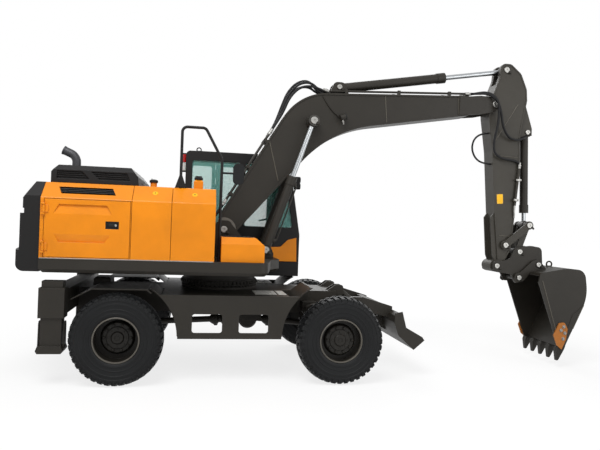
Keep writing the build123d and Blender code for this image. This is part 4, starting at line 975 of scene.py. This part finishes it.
class EXCAVATOR_OT_bolts(bpy.types.Operator):
    """Makes the bolts on the swing ring, the side cutters and the hood"""

    bl_idname = "excavator.bolts"
    bl_label = "Bolts"

    ring_count = 56
    # Radius and height of the swing ring's upright and outward bolts
    ring_upright = (475, 1060)
    ring_outward = (494, 1115)
    cutter_places = ((4840, 590), (4860, 500), (4800, 540), (4835, 420))
    cutter_face = 480
    hood_rows = (-1330, -1840)
    hood_lines = (-700, -250, 250, 700)

    def execute(self, context):
        width = context.scene.excavator_sizes.bolt / MM
        common = bolt_form(width)
        large = bolt_form(width * 1.3)
        ring = []
        for number in range(self.ring_count):
            spin = math.tau * number / self.ring_count
            out = Vector((math.cos(spin), math.sin(spin), 0))
            for (radius, z), axis in ((self.ring_upright, UP), (self.ring_outward, out)):
                ring.append((large, facing(at(*out.xy * radius, z), axis, spin)))
        make("ring_bolts", ring, "Cast iron paint", "chassis")
        cutter = [(large, facing(at(x, side * self.cutter_face, z), (0, side, 0)))
                  for side in (-1, 1) for x, z in self.cutter_places]
        make("cutter_bolts", cutter, "Worn steel", "bucket")
        hood = [(common, upright(x, y, HOOD_TOP)) for y in self.hood_lines for x in self.hood_rows]
        make("hood_bolts", hood, "Worn steel", "engine_hood")
        return {"FINISHED"}


class EXCAVATOR_OT_welds(bpy.types.Operator):
    """Lays the weld beads across the boom, arm and bucket"""

    bl_idname = "excavator.welds"
    bl_label = "Weld beads"

    # Slot, and each seam's distance from the middle and the X and Z of its ends
    seams = {
        "boom": ("dark_paint", (
            (141, (735, 2480), (600, 3010)), (141, (2235, 3350), (2200, 3735)),
            (141, (3300, 3548), (3290, 3796)))),
        "arm": ("grey_paint", (
            (125, (3990, 1850), (4170, 1838)), (125, (3880, 3000), (4235, 2990)),
            (125, (3870, 3200), (4215, 3760)))),
        "bucket": ("grey_paint", (
            (469, (4990, 560), (5150, 900)), (461, (4500, 1235), (4800, 330)))),
    }
    radius = 6.2
    ripple = 1.2
    pitch = 9

    def execute(self, context):
        for body, (slot, lines) in self.seams.items():
            parts = []
            for y, (low_x, low_z), (high_x, high_z) in lines:
                length = math.dist((low_x, low_z), (high_x, high_z))
                ripples = max(12, int(length / self.pitch))
                rings = [(self.radius + self.ripple * (number % 2), length * number / ripples)
                         for number in range(ripples + 1)]
                bead = turned(8, (0, 0), *rings, (0, length))
                run = (high_x - low_x, 0, high_z - low_z)
                parts += [(bead, facing(at(low_x, side * y, low_z), run)) for side in (-1, 1)]
            # The beads' lighter colour is a painted highlight.
            make(body + "_welds", parts, "Weld bead paint with painted highlight", body, 70)
        return {"FINISHED"}


# Hydraulic hoses and pipes

class EXCAVATOR_OT_hoses(bpy.types.Operator):
    """Runs the hoses at the boom foot, over the knee and across the arm pivot"""

    bl_idname = "excavator.hoses"
    bl_label = "Hoses"

    lines = (-OUTER_LINE, -INNER_LINE, INNER_LINE, OUTER_LINE)
    # How far each knee hose rises, and X and Z of its upper end
    knees = ((-20, 1335, 3746), (45, 1375, 3738), (95, 1375, 3738), (25, 1335, 3746))
    # The left link hose, from the boom's line to the bucket cylinder
    link_route = (
        (3440, OUTER_LINE, 3862), (3560, 130, 3870), (3720, 195, 3872), (3850, 228, 3770), (3905, 232, 3600),
        (3935, 225, 3420), (4040, 190, 3270), (4190, 165, 3230), (4330, 130, 3280), (4400, 75, 3330))
    pivot_route = (
        (3390, -INNER_LINE, 3846), (3540, -70, 3880), (3720, -165, 3905), (3835, -240, 3800),
        (3862, -252, 3640), (3852, -245, 3420), (3815, -215, 3220), (3830, -190, 3030),
        (3970, -175, 2955), (4130, -160, 2945), (4225, -152, 2930), (4262, -152, 2890))
    loop_route = (
        (3850, -60, 3330), (3720, -60, 3325), (3590, -62, 3250), (3545, -64, 3105), (3600, -64, 2960),
        (3720, -62, 2885), (3865, -60, 2880))
    loop_share = 0.8
    # A crimped collar: radius in hose diameters, and height
    collar = ((0, 0), (0.62, 0), (0.62, 30), (0.72, 34), (0.72, 52), (0.56, 58), (0.56, 85), (0, 85))
    # How far a collar stands off a hose's end, along the steel line that it meets
    foot_line = Vector((20, 0, 34)) * MM
    top_line = Vector((60, 0, 0)) * MM
    link_line = Vector((50, 0, 3)) * MM
    pivot_line = Vector((50, 0, 10)) * MM
    arm_collar = (4256, -152, 2830)
    tail_route = ((4205, -152, 2295), (4200, -152, 2230), (4206, -150, 2165), (4212, -132, 2110))
    tail_width = 24

    def execute(self, context):
        thick = context.scene.excavator_sizes.hose
        collar = turned(12, *[(share * thick / MM, height) for share, height in self.collar])
        ends = [*self.knee(thick), *self.foot(thick), *self.pivot(thick)]
        make("boom_fittings", [(collar, facing(*end)) for end in ends], "Bright pin steel", "boom")
        arm_parts = [(collar, facing(at(*self.arm_collar), (0.06, 0, 1))),
                     pipe_part(self.tail_route, self.tail_width)]
        make("arm_fittings", arm_parts, "Bright pin steel", "arm")
        return {"FINISHED"}

    # The three methods below give the place and direction of each collar on the boom

    def knee(self, thick):
        ends = []
        for number, (y, (rise, x, z)) in enumerate(zip(self.lines, self.knees)):
            points = add_hose("knee_hose_%d" % number, (
                (611, y, 3139), (680, y, 3256), (775, y, 3440 + rise), (850, y * 1.05, 3640 + rise),
                (985, y * 1.1, 3790 + rise), (1150, y, 3822 + rise), (1270, y, 3765), (x, y, z)),
                thick, body="boom")
            ends += [(points[0] - self.foot_line, points[1] - points[0]),
                     (points[-1] + self.top_line, points[-2] - points[-1])]
        return ends

    def foot(self, thick):
        ends = []
        for number, y in enumerate(self.lines):
            points = add_hose("foot_hose_%d" % number, (
                (-360, y * 0.9, 1560), (-355, y * 0.92, 1640), (-320, y * 0.95, 1745), (-230, y, 1840),
                (-130, y, 1920), (-50, y, 2030), (31, y, 2167)),
                thick, joint=("upper", "boom", (-330, y, 1720), (-30, y, 2060)))
            ends.append((points[-1] + self.foot_line, points[-2] - points[-1]))
        return ends

    def pivot(self, thick):
        ends = []
        for label, side in SIDES:
            route = [(x, side * y, z) for x, y, z in self.link_route]
            points = add_hose("link_hose_" + label, route, thick, joint=self.across_pivot(side))
            ends.append((points[0] - self.link_line, (1, 0, 0.05)))
        points = add_hose("pivot_hose", self.pivot_route, thick, joint=self.across_pivot(1))
        ends.append((points[0] - self.pivot_line, (1, 0, 0.15)))
        add_hose("arm_loop_hose", self.loop_route, thick * self.loop_share, body="arm")
        return ends

    def across_pivot(self, side):
        return "boom", "arm", (3640, side * 150, 3860), (3880, side * 215, 3480)


class EXCAVATOR_OT_cylinder_lines(bpy.types.Operator):
    """Makes the steel pipes and port blocks on the cylinder barrels"""

    bl_idname = "excavator.cylinder_lines"
    bl_label = "Cylinder pipes"

    # Base and far pin, distances from the middle, radius, length, and the way that the pipes face
    barrels = {
        "boom_barrels": (BOOM_BASE, BOOM_ROD, (-262, 262), 60, 1040, (0.947, 0, -0.321)),
        "arm_barrel": (ARM_TAIL, ARM_ROD, (0,), 66, 1590, (0, 1, 0)),
        "bucket_barrel": (BUCKET_BASE, LINK_TOP, (0,), 58, 1180, (0, 1, 0)),
    }
    pipe = 22
    port = (60, 56, 50)
    port_ahead = 150
    port_back = 90
    bend = 50
    pipe_foot = -20
    pipe_rise = 12

    def execute(self, context):
        port = block(self.port, 6)
        for body, (base, far, sides, radius, length, towards) in self.barrels.items():
            run = Vector((far[0] - base[0], 0, far[1] - base[1])).normalized()
            out = Vector(towards)
            axes = Matrix((run, out.cross(run), out)).transposed().to_4x4()
            stand = radius + self.pipe * 0.9
            low = out * (stand + self.pipe_foot)
            high = out * (stand + self.pipe_rise)
            parts = []
            for y in sides:
                start = Vector((base[0], y, base[1]))
                near = start + run * self.port_ahead
                end = start + run * (length - self.port_back)
                parts.append(pipe_part((
                    near + low, near + high, near + run * self.bend + high, end - run * self.bend + high,
                    end + high, end + low), self.pipe))
                parts += [(port, shift(*(place + out * radius)) @ axes) for place in (near, end)]
            make("pipes_" + body, parts, "Dark frame paint", body, 50)
        return {"FINISHED"}


# Lamps, cab and trim

def rounded_outline(width, height, radius, steps=5):
    """The (x, z) points of a rectangle with round corners about its middle."""
    points = []
    for corner in range(4):
        middle_x = (width / 2 - radius) * (1 if corner in (0, 3) else -1)
        middle_z = (height / 2 - radius) * (1 if corner in (0, 1) else -1)
        for step in range(steps + 1):
            angle = (corner + step / steps) * math.pi / 2
            points.append((middle_x + radius * math.cos(angle), middle_z + radius * math.sin(angle)))
    return points


class EXCAVATOR_OT_lamps(bpy.types.Operator):
    """Makes the lenses of the work lamps and the tail lamp, and the mirror's glass"""

    bl_idname = "excavator.lamps"
    bl_label = "Lamps"

    bezel = ((36, 0), (43, 0), (43, 10), (38, 13), (36, 10))
    lens = ((37, 2), (36, 6), (28, 11), (15, 14), (0, 15))
    socket = ((0, 0), (13, 0), (17, 8), (17, 30), (12, 36), (12, 62), (0, 62))
    sleeve = ((28.5, 0), (31, 3), (31, 115), (28.5, 118))
    conduit_route = ((1313, -148, 3671), (1350, -152, 3600), (1455, -152, 3463), (1545, -165, 3400))
    conduit_width = 16
    boom_lamp = (1590, -205, 3385)
    boom_lamp_half = 35
    boom_lamp_lean = math.radians(70)
    cab_lamps = ((1123, 407, 2545), (1123, 407, 2455))
    # Height and finish of each of the tail lamp's sleeves
    tail_lamp = {"white": (2640, "Clear lamp lens"), "red": (2764, "Red lamp lens")}

    def execute(self, context):
        bezel = turned(32, *self.bezel)
        lens = turned(32, *self.lens)
        beam = Vector((math.sin(self.boom_lamp_lean), 0, math.cos(self.boom_lamp_lean)))
        lamps = {
            "boom": [facing(at(*self.boom_lamp) + beam * self.boom_lamp_half * MM, beam)],
            "upper": [facing(at(*place), AHEAD) for place in self.cab_lamps]}
        for body, places in lamps.items():
            bezels = [(bezel, place) for place in places]
            make("lamp_bezels_" + body, bezels, "Moulded plastic", body)
            lenses = [(lens, place) for place in places]
            make("lamp_lenses_" + body, lenses, "Clear lamp lens", body)
        socket = (turned(20, *self.socket), facing(at(1585, -212, 3348), (0.25, 0, -1)))
        make("lamp_socket", [socket], "Worn steel", "boom")
        conduit = pipe_part(self.conduit_route, self.conduit_width)[0]
        add_mesh("lamp_conduit", conduit, "Dark frame paint", "boom", 60)
        sleeve = turned(32, *self.sleeve)
        for name, (low, finish) in self.tail_lamp.items():
            make("tail_lamp_" + name, [(sleeve, upright(-535, 900, low))], finish, "upper")
        pane = (sheet_form(rounded_outline(116, 236, 48), 4, 1.5), shift(140, -958, 2475))
        make("mirror_glass", [pane], "Mirror glass", "upper")
        return {"FINISHED"}


class EXCAVATOR_OT_seat(bpy.types.Operator):
    """Makes the operator's seat with its cushions"""

    bl_idname = "excavator.seat"
    bl_label = "Operator chair"

    bellows_folds = 5
    fold = 48
    rest_out = 205
    # A cushion's shape, in shares of its half sizes
    seams = (-0.45, 0.45)
    seam_half = 0.05
    seam_depth = 0.10
    side_draw = 0.05
    rim_height = 0.72
    crown_height = 0.34
    cuts = 15

    def execute(self, context):
        cushion = self.pad("chair_cushion", (470, 470, 120), shift(245, CAB_MIDDLE, 1790))
        back = self.pad("chair_back", (580, 460, 110), shift(-50, CAB_MIDDLE, 2150) @ turn("Y", 84))
        folds = [(0, 0)]
        for level in range(self.bellows_folds):
            low = self.fold * level
            folds += [(130, low), (190, low + 18), (190, low + 30)]
        top = self.fold * self.bellows_folds
        bellows = turned(4, *folds, (130, top), (0, top))
        parts = [
            (bellows, facing(at(240, CAB_MIDDLE, 1462), UP, math.pi / 4)),
            (block((340, 340, 30), 6), shift(240, CAB_MIDDLE, 1446)),
            (block((400, 420, 30), 8), shift(240, CAB_MIDDLE, 1715))]
        arm_rest = block((300, 60, 50), 18, 3)
        post = block((50, 30, 200), 10, 2)
        for side in (-1, 1):
            y = CAB_MIDDLE + side * self.rest_out
            parts += [(arm_rest, shift(130, y, 2010)), (post, shift(0, y, 1910))]
        base = make("chair_base", parts, "Moulded plastic", "upper")
        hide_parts("operator_seat")
        return {"FINISHED"}

    def pad(self, name, sizes, place):
        """A crowned cushion, drawn in at its sides and along two sewn channels."""
        bm = bmesh.new()
        bmesh.ops.create_cube(bm, size=1)
        bmesh.ops.subdivide_edges(bm, edges=bm.edges, cuts=self.cuts, use_grid_fill=True)
        for vert in bm.verts:
            x, y, z = vert.co * 2
            crown = (1 - x * x) * (1 - y * y)
            channel = sum(math.exp(-((y - seam) / self.seam_half) ** 2) for seam in self.seams)
            if abs(y) > 0.99:
                vert.co.y *= 1 - self.side_draw * (1 - x * x)
            height = self.rim_height + self.crown_height * crown
            vert.co.z *= height - self.seam_depth * channel if z > 0.9 else height
        bmesh.ops.scale(bm, vec=Vector(sizes) * MM, verts=bm.verts)
        bmesh.ops.smooth_vert(bm, verts=bm.verts, factor=0.5, use_axis_x=True, use_axis_y=True,
                              use_axis_z=True)
        bmesh.ops.transform(bm, matrix=place, verts=bm.verts)
        return add_mesh(name, kept(bm, name), "Woven cloth", "upper", 80)


class EXCAVATOR_OT_controls(bpy.types.Operator):
    """Makes the steering wheel, levers, screen and pedals in the cab"""

    bl_idname = "excavator.controls"
    bl_label = "Cab controls"

    column = ((0, 0), (70, 0), (60, 50), (34, 120), (34, 500), (50, 530), (50, 560), (0, 570))
    stick = ((0, 0), (40, 0), (34, 20), (14, 35), (12, 100), (22, 130), (24, 200), (14, 225), (0, 230))
    screen_post = ((0, 0), (14, 0), (14, 300), (0, 300))
    pedal_out = 110

    def execute(self, context):
        foot = at(880, CAB_MIDDLE, 1435)
        top = at(755, CAB_MIDDLE, 1975)
        tilt = facing(top, top - foot)
        parts = [
            (block((400, 130, 410), 25, 3), shift(355, 467, 1640)),
            (block((340, 100, 350), 20, 3), shift(330, 1050, 1670)),
            (turned(24, *self.column), facing(foot, top - foot)),
            (ring_form(160, 12), tilt)]
        spoke = block((150, 24, 10), 4)
        parts += [(spoke, tilt @ turn("Z", 120 * number) @ nudge(80, 0, 0)) for number in range(3)]
        stick = turned(16, *self.stick)
        pedal = block((160, 75, 20), 6)
        for side, stick_out in ((-1, 300), (1, 255)):
            parts += [
                (stick, facing(at(330, CAB_MIDDLE + side * stick_out, 1845), (0.25, 0, 1))),
                (pedal, shift(930, CAB_MIDDLE + side * self.pedal_out, 1475) @ turn("Y", -25))]
        parts += [
            (block((40, 150, 210), 10, 2), shift(900, 455, 2120) @ turn("Y", -20)),
            (turned(12, *self.screen_post), upright(905, 455, 1815))]
        piece = make("cab_controls", parts, "Moulded plastic", "upper")
        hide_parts("cab_console")
        return {"FINISHED"}


class EXCAVATOR_OT_trim(bpy.types.Operator):
    """Makes the latches, caps, eyes, plate, wiper and small fittings"""

    bl_idname = "excavator.trim"
    bl_label = "Trim"

    latch_z = 1812
    exhaust_end = (-1930, -600, 2689)
    exhaust_run = (-150, 0, 65)
    tank_cap = (-327, -804)
    tank_slope = (0, -0.633, 0.774)
    spot_places = ((-812, -1099, 2199), (-364, -1099, 2199))
    clamp_places = ((4240, 2660), (4212, 2370))
    wiper_arm = ((1146, 800, 1700), (1150, 796, 1790), (1115, 740, 1960), (1062, 660, 2200))
    wiper_blade = ((1112, 668, 1900), (1066, 655, 2180), (1022, 642, 2440))
    clamp_middle = -174
    clamp_face = -189
    clamp_bolt_out = 25
    stud_pitch = 50
    stud_rows = 7
    studs = 8
    first_stud = (10, -1020)
    # Front end of the skirt's lip on each side, its rear end, and its place in Y and Z
    skirt_fronts = ((-1, -127), (1, -515))
    skirt_rear = -2022
    skirt_out = 1222
    skirt_z = 1430

    def execute(self, context):
        self.latches()
        self.caps()
        self.plates()
        self.eyes()
        self.cab_fittings()
        self.edges()
        return {"FINISHED"}

    def latches(self):
        paddle = block((116, 10, 58), 6, 2)
        lock = turned(16, (13, 0), (13, 6), (9, 9), (0, 9))
        for label, side in SIDES:
            door = "side_door_" + label
            latch_part = (paddle, shift(-1262, side * 1203, self.latch_z))
            make("latch_" + label, [latch_part], "Moulded plastic", door)
            lock_part = (lock, facing(at(-1225, side * 1207, self.latch_z), (0, side, 0)))
            make("lock_" + label, [lock_part], "Bright pin steel", door)

    def caps(self):
        cap = turned(20, (46, 0), (52, 4), (52, 26), (44, 34), (20, 36), (0, 36))
        breather = turned(20, (38, 0), (50, 4), (50, 30), (30, 42), (0, 44))
        stalk = turned(10, (10, 0), (10, 20), (5, 30), (4, 115), (0, 117))
        parts = [
            (cap, upright(*self.tank_cap, 2393)), (block((80, 16, 18), 5), shift(*self.tank_cap, 2434)),
            (breather, upright(-855, -800, 2333)), (stalk, upright(-885, -690, 2278))]
        make("tank_caps", parts, "Moulded plastic", "upper")
        outlet = facing(at(*self.exhaust_end), self.exhaust_run)
        bore = turned(32, (44, 0.5), (44, 1), (0, 1.2))
        make("exhaust_bore", [(bore, outlet)], "Moulded plastic", "engine_hood")
        rim = turned(32, (46, -12), (53.5, -12), (54.5, 4), (48, 6), (46, 2))
        make("exhaust_rim", [(rim, outlet)], "Sooty exhaust steel", "engine_hood")

    def plates(self):
        plate = (block((95, 3, 138), 1), shift(3986, -125.4, 2378) @ turn("Y", -3))
        make("arm_plate", [plate], "Yellow plate", "arm")
        rivet = turned(10, (5, 0), (4, 3), (0, 4))
        rivets = [(rivet, facing(at(x, -126.5, z), TO_RIGHT)) for z in (2438, 2318) for x in (3946, 4026)]
        make("arm_plate_rivets", rivets, "Bright pin steel", "arm")
        spot = turned(28, (33, -2), (32, 2), (0, 3))
        centre = turned(14, (8, 0), (7, 5), (0, 6))
        stands = [facing(at(*place), self.tank_slope) for place in self.spot_places]
        make("tank_spots", [(spot, stand) for stand in stands], "Yellow plate", "upper")
        centres = [(centre, stand) for stand in stands]
        make("tank_spot_centres", centres, "Moulded plastic", "upper")
        clamp = block((78, 30, 34), 6)
        bolt = bolt_form(20)
        clamps = []
        for x, z in self.clamp_places:
            clamps.append((clamp, shift(x, self.clamp_middle, z)))
            for bolt_x in (x - self.clamp_bolt_out, x + self.clamp_bolt_out):
                clamps.append((bolt, facing(at(bolt_x, self.clamp_face, z), TO_RIGHT)))
        make("arm_clamps", clamps, "Bright pin steel", "arm")

    def eyes(self):
        bucket = [(ring_form(42, 12), facing(at(4884, 0, 1446), TO_LEFT)),
                  (block((60, 30, 30), 8), shift(4884, 0, 1412))]
        make("bucket_eye", bucket, "Grey arm paint", "bucket")
        ring = ring_form(30, 8)
        foot = block((60, 26, 20), 5)
        roof = []
        for x in (-330, 760):
            for y in (440, 1125):
                roof += [(ring, facing(at(x, y, 2905), TO_LEFT)), (foot, shift(x, y, 2884))]
        make("cab_eyes", roof, "Black textured paint", "upper")

    def cab_fittings(self):
        boss = turned(20, (30, 0), (30, 20), (16, 30), (0, 30))
        wiper = [pipe_part(self.wiper_arm, 16), pipe_part(self.wiper_blade, 12),
                 (boss, facing(at(1138, 800, 1700), AHEAD))]
        make("wiper", wiper, "Moulded plastic", "upper")
        stud = turned(10, (13, 0), (10, 5), (0, 5))
        step = [(block((360, 420, 6), 2), shift(160, -845, 1724))]
        x, y = self.first_stud
        step += [(stud, upright(x + self.stud_pitch * row, y + self.stud_pitch * number, 1727))
                 for row in range(self.stud_rows) for number in range(self.studs)]
        make("step_pad", step, "Moulded plastic", "upper")

    def edges(self):
        lips = []
        for side, front in self.skirt_fronts:
            length = front - self.skirt_rear
            middle = shift(front - length / 2, side * self.skirt_out, self.skirt_z)
            lips.append((block((length, 8, 12), 3), middle))
        make("skirt_lips", lips, "Worn steel", "upper")


OPERATORS = (
    EXCAVATOR_OT_stage, EXCAVATOR_OT_paint, EXCAVATOR_OT_tyres, EXCAVATOR_OT_hubs, EXCAVATOR_OT_driveline,
    EXCAVATOR_OT_treads, EXCAVATOR_OT_feet, EXCAVATOR_OT_pins, EXCAVATOR_OT_bolts, EXCAVATOR_OT_welds,
    EXCAVATOR_OT_hoses, EXCAVATOR_OT_cylinder_lines, EXCAVATOR_OT_lamps, EXCAVATOR_OT_seat,
    EXCAVATOR_OT_controls, EXCAVATOR_OT_trim)


class EXCAVATOR_PT_sidebar(bpy.types.Panel):
    """Lists the excavator's operators"""

    bl_idname = "EXCAVATOR_PT_sidebar"
    bl_label = "Excavator"
    bl_space_type = "VIEW_3D"
    bl_region_type = "UI"
    bl_category = "Excavator"

    def draw(self, context):
        for group in (context.scene.excavator_paints, context.scene.excavator_sizes):
            for name in group.__annotations__:
                self.layout.prop(group, name)
        for operator in OPERATORS:
            self.layout.operator(operator.bl_idname)


CLASSES = (ExcavatorPaints, ExcavatorSizes, *OPERATORS, EXCAVATOR_PT_sidebar)


def register():
    for each in CLASSES:
        bpy.utils.register_class(each)
    bpy.types.Scene.excavator_paints = bpy.props.PointerProperty(type=ExcavatorPaints)
    bpy.types.Scene.excavator_sizes = bpy.props.PointerProperty(type=ExcavatorSizes)


def unregister():
    del bpy.types.Scene.excavator_sizes
    del bpy.types.Scene.excavator_paints
    for each in reversed(CLASSES):
        bpy.utils.unregister_class(each)


def main():
    register()
    for operator in OPERATORS:
        group, name = operator.bl_idname.split(".")
        getattr(getattr(bpy.ops, group), name)()


if __name__ == "__main__":
    main()
